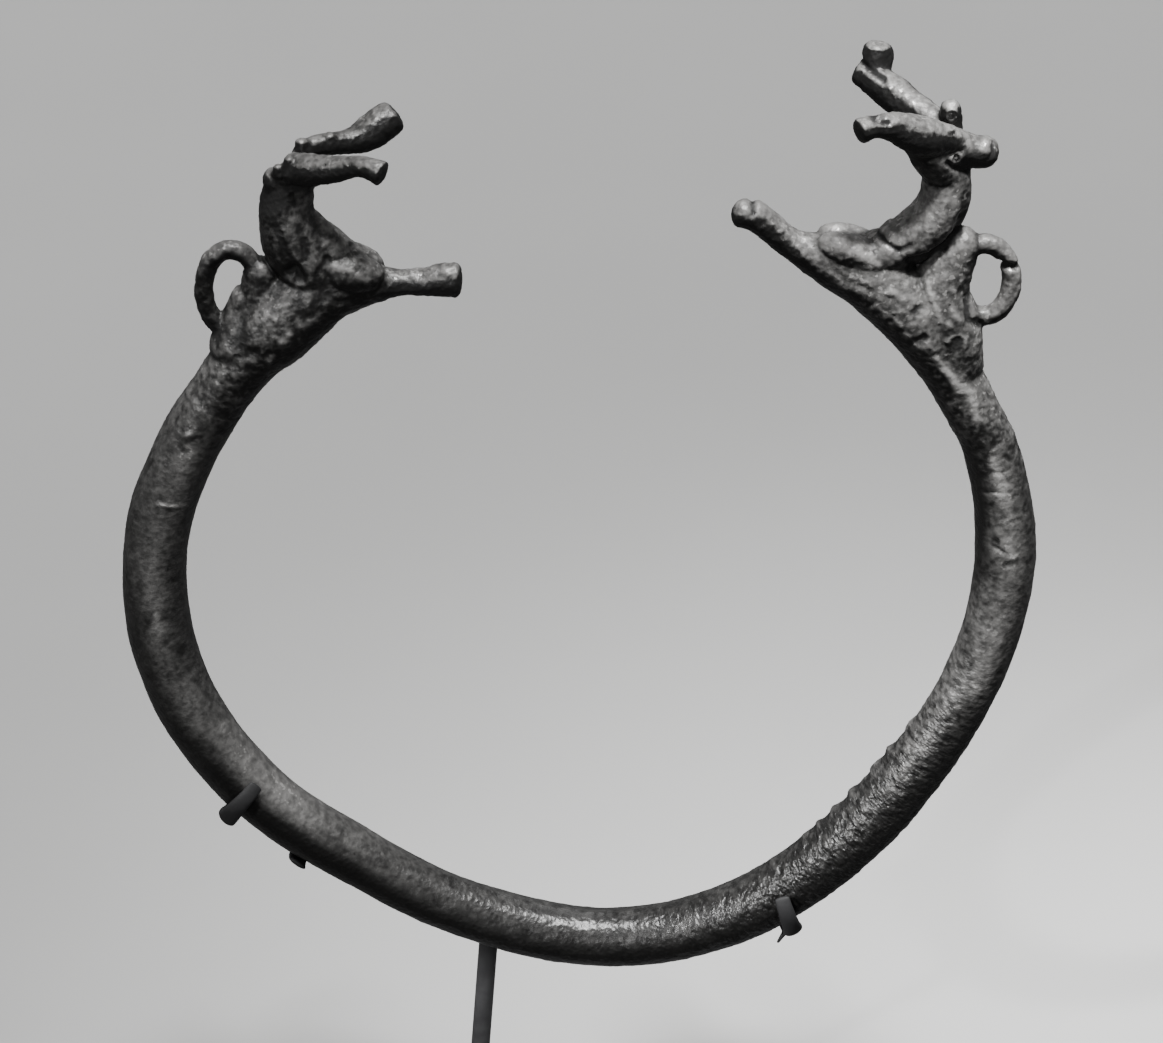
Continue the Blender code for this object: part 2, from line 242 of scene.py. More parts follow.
class GeometryTree:
    """A Geometry Nodes tree with named inputs, run on plain meshes."""

    def __init__(self, name: str, inputs: dict[str, str]) -> None:
        """Makes the tree and its inputs.

        Args:
            name: the tree's name.
            inputs: the socket type of each input besides the geometry and the material.
        """
        self.tree = bpy.data.node_groups.new(name, "GeometryNodeTree")
        self.weaver = Weaver(self.tree)
        kinds = {"Geometry": "NodeSocketGeometry", "Material": "NodeSocketMaterial", **inputs}
        self.sockets = {
            label: self.tree.interface.new_socket(label, in_out="INPUT", socket_type=kind).identifier
            for label, kind in kinds.items()
        }
        self.tree.interface.new_socket("Geometry", in_out="OUTPUT", socket_type="NodeSocketGeometry")
        self.given = self.weaver.add("NodeGroupInput").outputs
        self.place = self.weaver.add("GeometryNodeInputPosition").outputs[0]

    def attribute(self, name: str, kind: str = "FLOAT") -> Socket:
        """Reads a named attribute."""
        return self.weaver.add("GeometryNodeInputNamedAttribute", {"Name": name}, data_type=kind).outputs[0]

    def close(self, geometry: Socket, offset: Socket) -> None:
        """Ends the tree: the points move, the faces are shaded smooth, and all is real and has the material.

        Args:
            geometry: what the tree has made.
            offset: how far its points move.
        """
        steps = {"SetPosition": {"Offset": offset}, "SetShadeSmooth": {}, "RealizeInstances": {},
                 "SetMaterial": {"Material": self.given["Material"]}}
        for step, inputs in steps.items():
            geometry = self.weaver.add("GeometryNode" + step, {"Geometry": geometry, **inputs}).outputs[0]
        self.weaver.add("NodeGroupOutput", {0: geometry})

    def run(self, mesh: bpy.types.Mesh, **values: object) -> bpy.types.Mesh:
        """Runs the tree on a mesh.

        Args:
            mesh: the mesh to work on, which is used up.
            values: the named inputs.

        Returns:
            The mesh that the tree makes.
        """
        obj = shown(bpy.data.objects.new(self.tree.name, mesh))
        modifier = obj.modifiers.new(self.tree.name, "NODES")
        modifier.node_group = self.tree
        for label, value in values.items():
            modifier[self.sockets[label]] = value
        return settled(obj)


class SweepTree(GeometryTree):
    """Sweeps a round or flattened section along every course at once."""

    def __init__(self) -> None:
        """Builds the tree."""
        super().__init__("Sweep", {"Sides": "NodeSocketInt"})
        weaver, maths = self.weaver, self.weaver.maths
        paths = weaver.add("GeometryNodeMeshToCurve", {"Mesh": self.given["Geometry"]})
        ring = weaver.add("GeometryNodeCurvePrimitiveCircle",
                          {"Resolution": self.given["Sides"], "Radius": 1.0})
        skin = weaver.add("GeometryNodeCurveToMesh", {
            "Curve": paths.outputs[0], "Profile Curve": ring.outputs[0],
            "Scale": self.attribute("radius"), "Fill Caps": True})
        guide, square = self.attribute("guide", "FLOAT_VECTOR"), self.attribute("square")
        ray = weaver.vector("SUBTRACT", self.place, self.attribute("middle", "FLOAT_VECTOR"))
        depth = weaver.add("ShaderNodeVectorMath", {0: ray, 1: guide}, operation="DOT_PRODUCT")
        depth = depth.outputs["Value"]
        cosine = maths("MINIMUM", maths("ABSOLUTE", maths("DIVIDE", depth, self.attribute("radius"))), 1.0)
        sine = maths("SQRT", maths("SUBTRACT", 1.0, maths("POWER", cosine, 2.0)))
        powers = maths("ADD", maths("POWER", cosine, square), maths("POWER", sine, square))
        swell = maths("POWER", powers, maths("DIVIDE", -1.0, square))
        outward = weaver.scaled(ray, maths("SUBTRACT", swell, 1.0))
        shift = maths("MULTIPLY", maths("MULTIPLY", swell, depth),
                      maths("SUBTRACT", self.attribute("flat"), 1.0))
        self.close(skin.outputs[0], weaver.vector("ADD", outward, weaver.scaled(guide, shift)))

    def sweep(self, name: str, courses: Sequence[Course], sides: int) -> bpy.types.Mesh:
        """Sweeps the courses.

        Args:
            name: the mesh's name.
            courses: the paths and their sections.
            sides: how many faces go round a section.

        Returns:
            One mesh of closed shells.
        """
        edges, start = [], 0
        for course in courses:
            count = len(course.places)
            edges += [(start + i, start + i + 1) for i in range(count - 1)]
            if course.closed:
                edges.append((start + count - 1, start))
            start += count
        mesh = bpy.data.meshes.new(name)
        places = np.vstack([course.places for course in courses])
        mesh.from_pydata(places.tolist(), edges, [])
        store(mesh, "middle", places)
        store(mesh, "guide", np.vstack([np.broadcast_to(c.guides, c.places.shape) for c in courses]))
        for label in ("radius", "flat", "square"):
            values = [np.broadcast_to(getattr(course, label), len(course.places)) for course in courses]
            store(mesh, label, np.concatenate(values))
        return self.run(mesh, Sides=sides)


class SkinTree(GeometryTree):
    """Gives a melted casting its uneven skin: swellings, lumps, pits, grains and ridges across the bar.

    Each input but the seed is a height in millimetres.
    """

    def __init__(self) -> None:
        """Builds the tree."""
        names = ("Seed", "Swelling", "Lump", "Knob", "Pit", "Grain", "Ridge")
        super().__init__("Cast skin", dict.fromkeys(names, "NodeSocketFloat"))
        weaver, maths, given = self.weaver, self.weaver.maths, self.given

        knobs = weaver.add("ShaderNodeTexVoronoi", {"Vector": self.place, "Scale": 0.85, "Smoothness": 0.35},
                           feature="SMOOTH_F1").outputs["Distance"]
        knob = maths("MULTIPLY", weaver.remap(knobs, 0.1, 0.75, 1.0, -1.0, smooth=False), given["Knob"])

        cells = weaver.add("ShaderNodeTexVoronoi", {"Vector": self.place, "W": given["Seed"], "Scale": 0.62},
                           voronoi_dimensions="4D").outputs
        hollow = weaver.remap(cells["Distance"], 0.05, 0.42, -1.0, 0.0)
        chance = weaver.add("ShaderNodeSeparateXYZ", {0: cells["Color"]}).outputs[0]
        pit = maths("MULTIPLY", maths("MULTIPLY", hollow, maths("GREATER_THAN", chance, 0.55)), given["Pit"])

        across = weaver.vector("MULTIPLY", self.attribute("bar", "FLOAT_VECTOR"), (1.5, 0.9, 0.9))
        ridge = maths("MULTIPLY", self.layer("Ridge", across, 1.0, 2.0), self.attribute("ridged"))

        broad = maths("ADD", self.layer("Swelling", self.place, 0.2, 1.0), ridge)
        lump, grain = self.layer("Lump", self.place, 0.75, 2.0), self.layer("Grain", self.place, 2.4, 2.0)
        fine = maths("ADD", maths("ADD", lump, grain), maths("ADD", pit, knob))
        height = maths("MULTIPLY_ADD", fine, self.attribute("crumble"), broad)
        normal = weaver.add("GeometryNodeInputNormal").outputs[0]
        self.close(given["Geometry"], weaver.scaled(normal, height))

    def layer(self, name: str, where: Socket, scale: float, detail: float) -> Socket:
        """Makes noise that goes as far up and down as the named input says."""
        noise = self.weaver.noise(where, scale, detail, self.given["Seed"])
        return self.weaver.maths("MULTIPLY", self.weaver.remap(
            noise, *MIDDLE_NOISE, -1.0, 1.0, smooth=False), self.given[name])


def shown(obj: bpy.types.Object) -> bpy.types.Object:
    """Links an object to the scene and returns it."""
    bpy.context.scene.collection.objects.link(obj)
    return obj


def settled(obj: bpy.types.Object) -> bpy.types.Mesh:
    """Turns an object with modifiers into a plain mesh.

    Args:
        obj: the object, which is removed with its own mesh.

    Returns:
        The mesh as its modifiers left it.
    """
    raw = obj.data
    made = bpy.data.meshes.new_from_object(obj.evaluated_get(bpy.context.evaluated_depsgraph_get()))
    bpy.data.objects.remove(obj)
    bpy.data.meshes.remove(raw)
    return made


def store(mesh: bpy.types.Mesh, name: str, values: np.ndarray) -> None:
    """Stores numbers or vectors on a mesh's points.

    Args:
        mesh: the mesh.
        name: the attribute's name.
        values: one number or one vector for each point.
    """
    kind, key = ("FLOAT_VECTOR", "vector") if values.ndim == 2 else ("FLOAT", "value")
    attribute = mesh.attributes.new(name, kind, "POINT")
    attribute.data.foreach_set(key, values.astype(np.float32).ravel())


def points_of(mesh: bpy.types.Mesh) -> tuple[np.ndarray, np.ndarray]:
    """Reads a mesh's points.

    Args:
        mesh: the mesh.

    Returns:
        The points and their normals.
    """
    places = np.empty(len(mesh.vertices) * 3, np.float32)
    normals = np.empty_like(places)
    mesh.vertices.foreach_get("co", places)
    mesh.vertex_normals.foreach_get("vector", normals)
    return places.reshape(-1, 3).astype(float), normals.reshape(-1, 3).astype(float)


def move_points(mesh: bpy.types.Mesh, places: np.ndarray) -> None:
    """Puts a mesh's points at new places."""
    mesh.vertices.foreach_set("co", places.astype(np.float32).ravel())
    mesh.update()


def melted(mesh: bpy.types.Mesh, voxel: float, softening: int) -> bpy.types.Mesh:
    """Melts overlapping shells into one skin and rounds the corners between them.

    Args:
        mesh: the shells, in millimetres.
        voxel: the size of the new faces.
        softening: how many times the corners are eased.

    Returns:
        The skin.
    """
    obj = shown(bpy.data.objects.new("melting", mesh))
    melt = obj.modifiers.new("Melt", "REMESH")
    melt.mode = "VOXEL"
    melt.voxel_size = voxel
    melt.use_smooth_shade = True
    soften = obj.modifiers.new("Soften", "SMOOTH")
    soften.factor = 0.5
    soften.iterations = softening
    return settled(obj)


def thinned(mesh: bpy.types.Mesh, triangles: int) -> bpy.types.Mesh:
    """Merges faces where a mesh is smooth until it has few enough triangles.

    Args:
        mesh: the mesh.
        triangles: the most that it may have.

    Returns:
        The thinner mesh.
    """
    mesh.calc_loop_triangles()
    share = triangles / len(mesh.loop_triangles)
    if share >= 1.0:
        return mesh
    obj = shown(bpy.data.objects.new("thinning", mesh))
    obj.modifiers.new("Thin", "DECIMATE").ratio = share
    return settled(obj)


def eased(values: np.ndarray, low: float, high: float) -> np.ndarray:
    """Maps a stretch of numbers onto 0 to 1, with eased ends."""
    share = np.clip((values - low) / (high - low), 0.0, 1.0)
    return share * share * (3.0 - 2.0 * share)


def turned_by(turns: np.ndarray | float, turn: float) -> np.ndarray | float:
    """Gives how far angles in degrees are from another, the short way round."""
    return (turns - turn + 180.0) % 360.0 - 180.0


def segment_distance(points: np.ndarray, start: np.ndarray, end: np.ndarray) -> np.ndarray:
    """Measures how far points are from a straight line.

    Args:
        points: the points.
        start: where the line starts.
        end: where it ends.

    Returns:
        The distances.
    """
    run = end - start
    share = np.clip((points - start) @ run / max(run @ run, 1e-12), 0.0, 1.0)
    return np.linalg.norm(points - start - share[:, None] * run, axis=1)


def hollows(mesh: bpy.types.Mesh, steps: int, depth: float) -> np.ndarray:
    """Finds a mesh's creases and edges.

    Args:
        mesh: the mesh.
        steps: how far round a point its surroundings reach, in edges.
        depth: the depth of a full crease.

    Returns:
        From 1 in a crease to -1 on an edge, for each point.
    """
    places, normals = points_of(mesh)
    ends = np.empty(len(mesh.edges) * 2, np.int32)
    mesh.edges.foreach_get("vertices", ends)
    start, end = ends.reshape(-1, 2).T
    count = len(places)
    shares = (np.bincount(start, minlength=count) + np.bincount(end, minlength=count))[:, None]
    soft = places
    for _ in range(steps):
        sums = [np.bincount(start, soft[end, i], count) + np.bincount(end, soft[start, i], count)
                for i in range(3)]
        soft = np.stack(sums, axis=-1) / shares
    sunk = ((soft - places) * normals).sum(1)
    return np.clip((sunk - np.median(sunk)) / depth, -1.0, 1.0)


def finish_piece(name: str, mesh: bpy.types.Mesh, place: Matrix, node: str) -> bpy.types.Object:
    """Makes a finished piece of a mesh in millimetres, with its place in its mesh.

    Args:
        name: the piece's name.
        mesh: its mesh, already dressed.
        place: turns millimetres of the piece's own frame into metres of the whole.
        node: the plain solid that it stands for.

    Returns:
        The object.
    """
    mesh.transform(place)
    mesh.name = name
    for scaffold in SCAFFOLDING:
        if scaffold in mesh.attributes:
            mesh.attributes.remove(mesh.attributes[scaffold])
    obj = shown(bpy.data.objects.new(name, mesh))
    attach(obj, "root")
    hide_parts(node)
    return obj


@dataclass(frozen=True)
class CorrodedBronze:
    """The finish of old bronze: dark and glossy where it is worn, pale, dull and speckled where it is dusty,
    with light and shade painted on it.

    The mesh's attribute of patina and painted light is 0 where the bronze is worn and where shade is painted,
    and 1 where it is dusty and where light from above and sheens are painted. Its shade attribute is painted
    shade in creases, in grooves and under heads, jaws and horns, along with real stains, which are also
    duller; it is below 0 on edges and where glints are painted. The pale specks paint glints too. Its bar
    attribute is the place on the bar, along it and round it in millimetres, and ridged is how strong the
    ridges across it are.
    """

    name: str = "corroded_bronze"
    dark: Colour = (0.012, 0.0117, 0.0114)
    pale: Colour = (0.330, 0.324, 0.315)
    metallic: float = 0.3
    gloss: float = 0.6
    worn_roughness: float = 0.29
    dusty_roughness: float = 0.56
    shade_dullness: float = 0.4
    clouding: float = 0.11
    mottling: float = 0.16
    glint_speckling: float = 0.7
    ridge_relief: float = 2.1
    relief_height: float = 0.00009
    seed: float = 3.0

    def material(self) -> bpy.types.Material:
        """Builds the material.

        Returns:
            The material.
        """
        material, weaver, shader = fresh_material(self.name)
        maths = weaver.maths
        where = weaver.add("ShaderNodeTexCoord").outputs["Object"]
        # The first attribute carries patina together with painted light; the second carries painted shade,
        # stains, and painted glints below 0.
        patina_and_light, shade = weaver.read("patina_and_light"), weaver.read("shade")

        cloud = weaver.cloud(where, 300.0, 2.0, self.seed, -self.clouding, self.clouding)
        mottle = weaver.cloud(where, 1700.0, 3.0, self.seed + 1, -self.mottling, self.mottling)
        # Pale specks in the colour paint glints.
        glint_speck = weaver.noise(where, 2300.0, 1.0, self.seed + 2)
        glint_speck = weaver.remap(glint_speck, 0.57, 0.67, 0.0, self.glint_speckling)
        glint_speck = maths("MULTIPLY", glint_speck, weaver.remap(cloud, -0.05, 0.08, 0.15, 1.0))
        glint_speck = maths("MULTIPLY", glint_speck, weaver.remap(patina_and_light, 0.4, 0.75, 0.1, 1.0))
        uneven = maths("ADD", maths("ADD", cloud, mottle), glint_speck)
        dusty = weaver.remap(patina_and_light, 0.0, 0.4, 0.0, 1.0, smooth=False)
        # Painted shade and stains darken the tone, and painted glints lighten it.
        tone = maths("SUBTRACT", maths("MULTIPLY_ADD", uneven, dusty, patina_and_light), shade)
        tone = maths("POWER", weaver.remap(tone, 0.0, 1.3, 0.0, 1.0, smooth=False), 1.5)

        rough = weaver.remap(patina_and_light, 0.0, 1.0, self.worn_roughness, self.dusty_roughness, smooth=False)
        # Where shade is painted deepest, the surface is made duller too.
        rough = maths("ADD", rough, weaver.remap(shade, 0.5, 1.1, 0.0, self.shade_dullness))

        grain = weaver.add("ShaderNodeTexVoronoi", {"Vector": where, "Scale": 2600.0}).outputs["Distance"]
        relief = maths("ADD", weaver.noise(where, 2200.0, 4.0, self.seed + 3), maths("MULTIPLY", grain, 0.5))
        across = weaver.vector("MULTIPLY", weaver.read("bar", "Vector"), (2.4, 1.3, 1.3))
        ridges = weaver.cloud(across, 1.0, 2.0, self.seed, 0.0, self.ridge_relief)
        relief = maths("MULTIPLY_ADD", ridges, weaver.read("ridged"), relief)
        bump = weaver.add("ShaderNodeBump",
                          {"Strength": 0.7, "Distance": self.relief_height, "Height": relief})
        weaver.feed(shader, {
            "Base Color": weaver.blend(tone, self.dark, self.pale), "Metallic": self.metallic,
            "Roughness": maths("SUBTRACT", rough, maths("MULTIPLY", glint_speck, 0.3)),
            "Specular IOR Level": self.gloss, "Normal": bump.outputs[0]})
        return material


@dataclass(frozen=True)
class GreyPaint:
    """The finish of the mount: matt grey paint, faintly clouded.

    The mesh's toned attribute is 0 where the paint is nearly black and 1 where it is grey.
    """

    name: str = "grey_paint"
    dark: Colour = (0.016, 0.016, 0.017)
    grey: Colour = (0.150, 0.150, 0.155)
    roughness: tuple[float, float] = (0.62, 0.78)
    clouding: float = 0.35
    film_height: float = 0.00006
    seed: float = 11.0

    def material(self) -> bpy.types.Material:
        """Builds the material.

        Returns:
            The material.
        """
        material, weaver, shader = fresh_material(self.name)
        where = weaver.add("ShaderNodeTexCoord").outputs["Object"]
        cloud = weaver.cloud(where, 700.0, 4.0, self.seed, 0.0, 1.0)
        paler = weaver.maths("MULTIPLY_ADD", cloud, self.clouding, 1.0 - self.clouding)
        film = weaver.noise(where, 2500.0, 3.0, self.seed + 1)
        bump = weaver.add("ShaderNodeBump", {"Strength": 0.4, "Distance": self.film_height, "Height": film})
        tone = weaver.maths("MULTIPLY", weaver.read("toned"), paler)
        weaver.feed(shader, {
            "Base Color": weaver.blend(tone, self.dark, self.grey),
            "Roughness": weaver.remap(cloud, 0.0, 1.0, *self.roughness), "Normal": bump.outputs[0]})
        return material


@dataclass(frozen=True)
class Band:
    """The round bar of the ring, in the ring's frame with its centre at the origin.

    Each row of the course is the angle from the ring's bottom in degrees, the reach from the centre as a
    share of half the ring's width, and the girth as a share of the bar's diameter. A turn is an angle round
    the bar in degrees: 0 is the ring's outer edge, 90 the back and -90 the front. The bar's skin reaches
    skin_reach times its radius. Points are trued up to the first of the trued gaps and left past the second.
    """

    inner_width: float = 62.0
    diameter: float = 4.9
    course: tuple[Row, ...] = (
        (-115.4, 0.941, 1.00), (-105.0, 0.966, 1.03), (-90.0, 1.000, 1.05), (-70.0, 1.019, 1.04),
        (-50.0, 1.006, 1.01), (-34.0, 0.985, 0.98), (-17.0, 1.010, 0.96), (5.0, 1.060, 0.99),
        (22.0, 1.053, 1.03), (40.0, 1.010, 1.06), (55.0, 0.988, 1.01), (72.0, 0.990, 0.95),
        (90.0, 1.000, 0.98), (107.9, 0.998, 0.88))
    steps: int = 14
    skin_reach: float = 1.3
    trued_gaps: tuple[float, float] = (0.04, 0.1)

    @property
    def half_width(self) -> float:
        """Half the ring's width between the bar's middles."""
        return (self.inner_width + self.diameter) / 2

    def rows(self) -> np.ndarray:
        """Gives fine rows of angle, reach and radius, in degrees and millimetres."""
        return smooth_course(self.course, self.steps) * (1.0, self.half_width, self.diameter / 2)

    def at(self, angles: np.ndarray | float) -> tuple[np.ndarray, np.ndarray]:
        """Gives the bar's reach and radius at angles in degrees."""
        rows = self.rows()
        return np.interp(angles, rows[:, 0], rows[:, 1]), np.interp(angles, rows[:, 0], rows[:, 2])

    @staticmethod
    def outward(angles: np.ndarray | float) -> np.ndarray:
        """Gives the directions from the centre at angles from the bottom."""
        turns = np.radians(angles)
        return np.stack((np.sin(turns), np.zeros_like(turns), -np.cos(turns)), axis=-1)

    @staticmethod
    def angles_of(places: np.ndarray) -> np.ndarray:
        """Gives the angles round the ring that places are at."""
        return np.degrees(np.arctan2(places[:, 0], -places[:, 2]))

    def carries(self, angles: np.ndarray) -> np.ndarray:
        """Tells whether the bar runs at angles round the ring."""
        return (angles > self.course[0][0]) & (angles < self.course[-1][0])

    def beside(self, angles: np.ndarray, turns: np.ndarray, standoff: np.ndarray | float
               ) -> tuple[np.ndarray, np.ndarray]:
        """Gives places beside the bar.

        Args:
            angles: the angles round the ring.
            turns: the turns.
            standoff: the distances from the bar's surface.

        Returns:
            The places, and the directions that lead to them from the bar's middle.
        """
        reach, radius = self.at(angles)
        spin = np.radians(turns)[:, None]
        directions = self.outward(angles) * np.cos(spin) + BACK * np.sin(spin)
        return self.outward(angles) * reach[:, None] + directions * (radius + standoff)[:, None], directions

    def coordinates(self, places: np.ndarray) -> tuple[np.ndarray, np.ndarray, np.ndarray]:
        """Finds where places are on the bar.

        Args:
            places: the places, in the ring's frame.

        Returns:
            The angles round the ring, the turns, and 1 for a place on the bar, else 0.
        """
        angles = self.angles_of(places)
        reach, radius = self.at(angles)
        out = np.hypot(places[:, 0], places[:, 2]) - reach
        on_bar = self.carries(angles) & (np.hypot(out, places[:, 1]) < self.skin_reach * radius)
        return angles, np.degrees(np.arctan2(places[:, 1], out)), on_bar.astype(float)

    def trued(self, places: np.ndarray) -> np.ndarray:
        """Puts points that are very near the bar's surface exactly on it.

        Args:
            places: the points.

        Returns:
            The points, the near ones moved.
        """
        angles = self.angles_of(places)
        reach, radius = self.at(angles)
        away = places - self.outward(angles) * reach[:, None]
        distance = np.linalg.norm(away, axis=1)
        near = (1.0 - eased(np.abs(distance - radius), *self.trued_gaps)) * self.carries(angles)
        return places + away * (near * (radius / distance - 1.0))[:, None]

    def as_course(self) -> Course:
        """Gives the bar as a course to sweep."""
        angles, reach, radius = self.rows().T
        return Course.through(np.column_stack((
            self.outward(angles) * reach[:, None], radius, np.ones(len(radius)))), 1.0)


@dataclass(frozen=True)
class Knock:
    """A dent or a lump on the bar.

    An angle round the ring and a turn place it, along and around are its half sizes in millimetres, height
    is how far it stands out, and slant turns it, in degrees.
    """

    angle: float
    turn: float
    along: float
    around: float
    height: float
    slant: float = 0.0

    def heights(self, band: Band, angles: np.ndarray, turns: np.ndarray) -> np.ndarray:
        """Finds how far it lifts the bar.

        Args:
            band: the bar.
            angles: the points' angles round the ring.
            turns: their turns.

        Returns:
            The lift of each point, in millimetres.
        """
        reach, radius = band.at(self.angle)
        x = np.radians(angles - self.angle) * reach
        y = np.radians(turned_by(turns, self.turn)) * radius
        c, s = math.cos(math.radians(self.slant)), math.sin(math.radians(self.slant))
        x, y = c * x + s * y, c * y - s * x
        return self.height * np.exp(-(x / self.along) ** 2 - (y / self.around) ** 2)


class Side(Enum):
    """The side of a beast that a mark is on, as the signs of the ways it faces. ROUND is all round."""

    NEAR = (-1.0,)
    FAR = (1.0,)
    BOTH = (-1.0, 1.0)
    ROUND = ()


@dataclass(frozen=True)
class Mark:
    """A groove, a ridge, a stain, or painted shade or light, drawn on a beast's side.

    Its path and sizes are in hundredths of the beast's length: (towards the gap, up), then the half width
    and the height, which is below 0 for a groove. The number after the height is 1 for black and below 0 for
    a pale patch. As well as real stains, it paints shade in grooves and under heads, jaws and horns, and
    glints on ridges and flanks.
    """

    path: tuple[Row, ...]
    width: float
    height: float
    stain_and_shading: float = 0.0
    side: Side = Side.NEAR

    def weights(self, places: np.ndarray, normals: np.ndarray) -> np.ndarray:
        """Finds how strong it is on the beast.

        Args:
            places: points, in hundredths of the beast's length.
            normals: their normals.

        Returns:
            From 0 to 1, for each point.
        """
        flat = places[:, ::2]
        path = np.array(self.path, float)
        lowest, highest = path.min(0) - MARK_REACH * self.width, path.max(0) + MARK_REACH * self.width
        near = ((flat > lowest) & (flat < highest)).all(1)
        strong = np.zeros(len(places))
        if not near.any():
            return strong
        ends = list(zip(path, path[1:])) or [(path[0], path[0])]
        gap = np.min([segment_distance(flat[near], start, end) for start, end in ends], axis=0)
        facings = [np.clip(sign * normals[near, 1] * FACING_SLOPE, 0.0, 1.0) for sign in self.side.value]
        facing = np.max(facings, axis=0) if facings else 1.0
        strong[near] = np.exp(-(gap / self.width) ** 2) * facing
        return strong


@dataclass(frozen=True)
class Limb:
    """One limb of a beast.

    Its rows are (towards the gap, away from the viewer, up, radius) in hundredths of the beast's length,
    from the point where the band ends. A fifth number is the section's depth as a share of its height.
    """

    rows: tuple[Row, ...]
    square: float = 2.0
    bulge: float = 1.0
    steps: int = 9

    def course(self, origin: np.ndarray, units: np.ndarray) -> Course:
        """Gives the limb as a course to sweep.

        Args:
            origin: where the band ends.
            units: the size of a hundredth along each axis, in millimetres.

        Returns:
            The course.
        """
        fine = smooth_course([row if len(row) == 5 else (*row, 1.0) for row in self.rows], self.steps)
        places = origin + fine[:, :3] * units
        rows = np.column_stack((places, fine[:, 3] * units[2], fine[:, 4]))
        return Course.through(rows, self.bulge, self.square)


@dataclass(frozen=True)
class Beast:
    """One end of the bracelet, in hundredths of its own length.

    The tail's loop and the shoulder are (towards the gap, away, up, half length, half height, thickness).
    Body is where the ring's own dust and painted light end and the beast's are full. Along legs, towards the
    gap, and from horns_from up, only what faces well upwards is dusty and painted as lit, and the rest is
    painted in shade, as if lit from straight above. A pair of numbers says how far up a face must point for
    that, and what is added to it on the far side.
    """

    length: float
    side: int
    root: float
    limbs: tuple[Limb, ...]
    tail_loop: Row
    shoulder: Row
    shoulder_slope: float
    horns_from: float
    marks: tuple[Mark, ...]
    loop_steps: int = 48
    oval_steps: int = 25
    body: tuple[float, float] = (0.0, 25.0)
    legs: tuple[float, float] = (56.0, 68.0)
    legs_share: float = 0.85
    far_side: tuple[float, float] = (3.0, 8.0)
    lit_rise: tuple[float, float] = (0.46, 0.2)
    lit_blur: float = 0.26
    unlit_shade: float = 0.9
    least_dust_and_light: float = 0.08

    def frame(self, band: Band) -> tuple[np.ndarray, np.ndarray]:
        """Gives the beast's origin and the size of a hundredth along each axis."""
        unit = self.length / 100
        return band.outward(self.root) * band.at(self.root)[0], np.array((-self.side * unit, unit, unit))

    def own(self, band: Band, places: np.ndarray) -> np.ndarray:
        """Turns places in the ring's frame into hundredths of the beast's length."""
        origin, units = self.frame(band)
        return (places - origin) / units

    def courses(self, band: Band) -> list[Course]:
        """Gives every limb, the tail's loop and the shoulders as courses to sweep.

        Args:
            band: the band that it ends.

        Returns:
            The courses.
        """
        origin, units = self.frame(band)
        unit = self.length / 100
        made = [limb.course(origin, units) for limb in self.limbs]

        gap, away, up, half_length, half_height, thickness = self.tail_loop
        turns = np.linspace(0.0, math.tau, self.loop_steps, endpoint=False)
        loop = np.column_stack((gap + half_length * np.cos(turns), np.full(len(turns), away),
                                up + half_height * np.sin(turns)))
        made.append(Course(origin + loop * units, thickness * unit, BACK, closed=True))

        gap, away, up, half_length, half_height, thickness = self.shoulder
        slope = math.radians(self.shoulder_slope)
        share = np.sin(np.radians(np.linspace(-84.0, 84.0, self.oval_steps)))
        for face in (-1, 1):
            oval = np.column_stack((gap + share * half_length * math.cos(slope),
                                    np.full(len(share), face * away),
                                    up + share * half_length * math.sin(slope)))
            radius = half_height * np.sqrt(1.0 - share ** 2) * unit
            made.append(Course(origin + oval * units, radius, BACK, thickness / half_height))
        return made

    def lift(self, band: Band, places: np.ndarray, normals: np.ndarray) -> np.ndarray:
        """Gives how far its marks lift each point of the casting, in millimetres."""
        own = self.own(band, places)
        return sum(mark.height * mark.weights(own, normals) for mark in self.marks) * self.length / 100

    def weather_and_light(self, band: Band, places: np.ndarray, normals: np.ndarray, rising: np.ndarray
                ) -> tuple[np.ndarray, np.ndarray]:
        """Finds where the beast is dusty and painted as lit, and where it is stained and painted in shade.

        Args:
            band: the band that it ends.
            places: the casting's points.
            normals: their normals.
            rising: how far each normal points upwards, from -1 to 1.

        Returns:
            For each point, a factor for its dust and painted light, and its stain and painted shade.
        """
        own = self.own(band, places)
        on_beast = eased(own[:, 2], *self.body) * (self.side * places[:, 0] > 0.0)
        thin = np.maximum(eased(own[:, 2], self.horns_from - 2.0, self.horns_from + 1.0),
                          self.legs_share * eased(own[:, 0], *self.legs))
        # Faces of horns and legs that do not point well up are painted in shade, as if lit from straight
        # above.
        lit_rise = thin * (self.lit_rise[0] + self.lit_rise[1] * eased(own[:, 1], *self.far_side))
        dust_and_light = eased(rising - lit_rise, -self.lit_blur, self.lit_blur)
        dust_and_light = self.least_dust_and_light + (1.0 - self.least_dust_and_light) * dust_and_light
        stain_and_shading = sum(mark.stain_and_shading * mark.weights(own, normals) for mark in self.marks if mark.stain_and_shading)
        # Painted shade on those faces, added to the stains.
        stain_and_shading += self.unlit_shade * on_beast * thin * (1.0 - dust_and_light)
        return 1.0 + on_beast * (dust_and_light - 1.0), stain_and_shading


def oval_path(gap: float, up: float, half_length: float, half_height: float,
              start: float = 0.0, end: float = 360.0) -> tuple[Row, ...]:
    """Gives a mark's path round an oval, or along it from one angle to another."""
    turns = np.radians(np.linspace(start, end, 25))
    return tuple(zip(gap + half_length * np.cos(turns), up + half_height * np.sin(turns)))


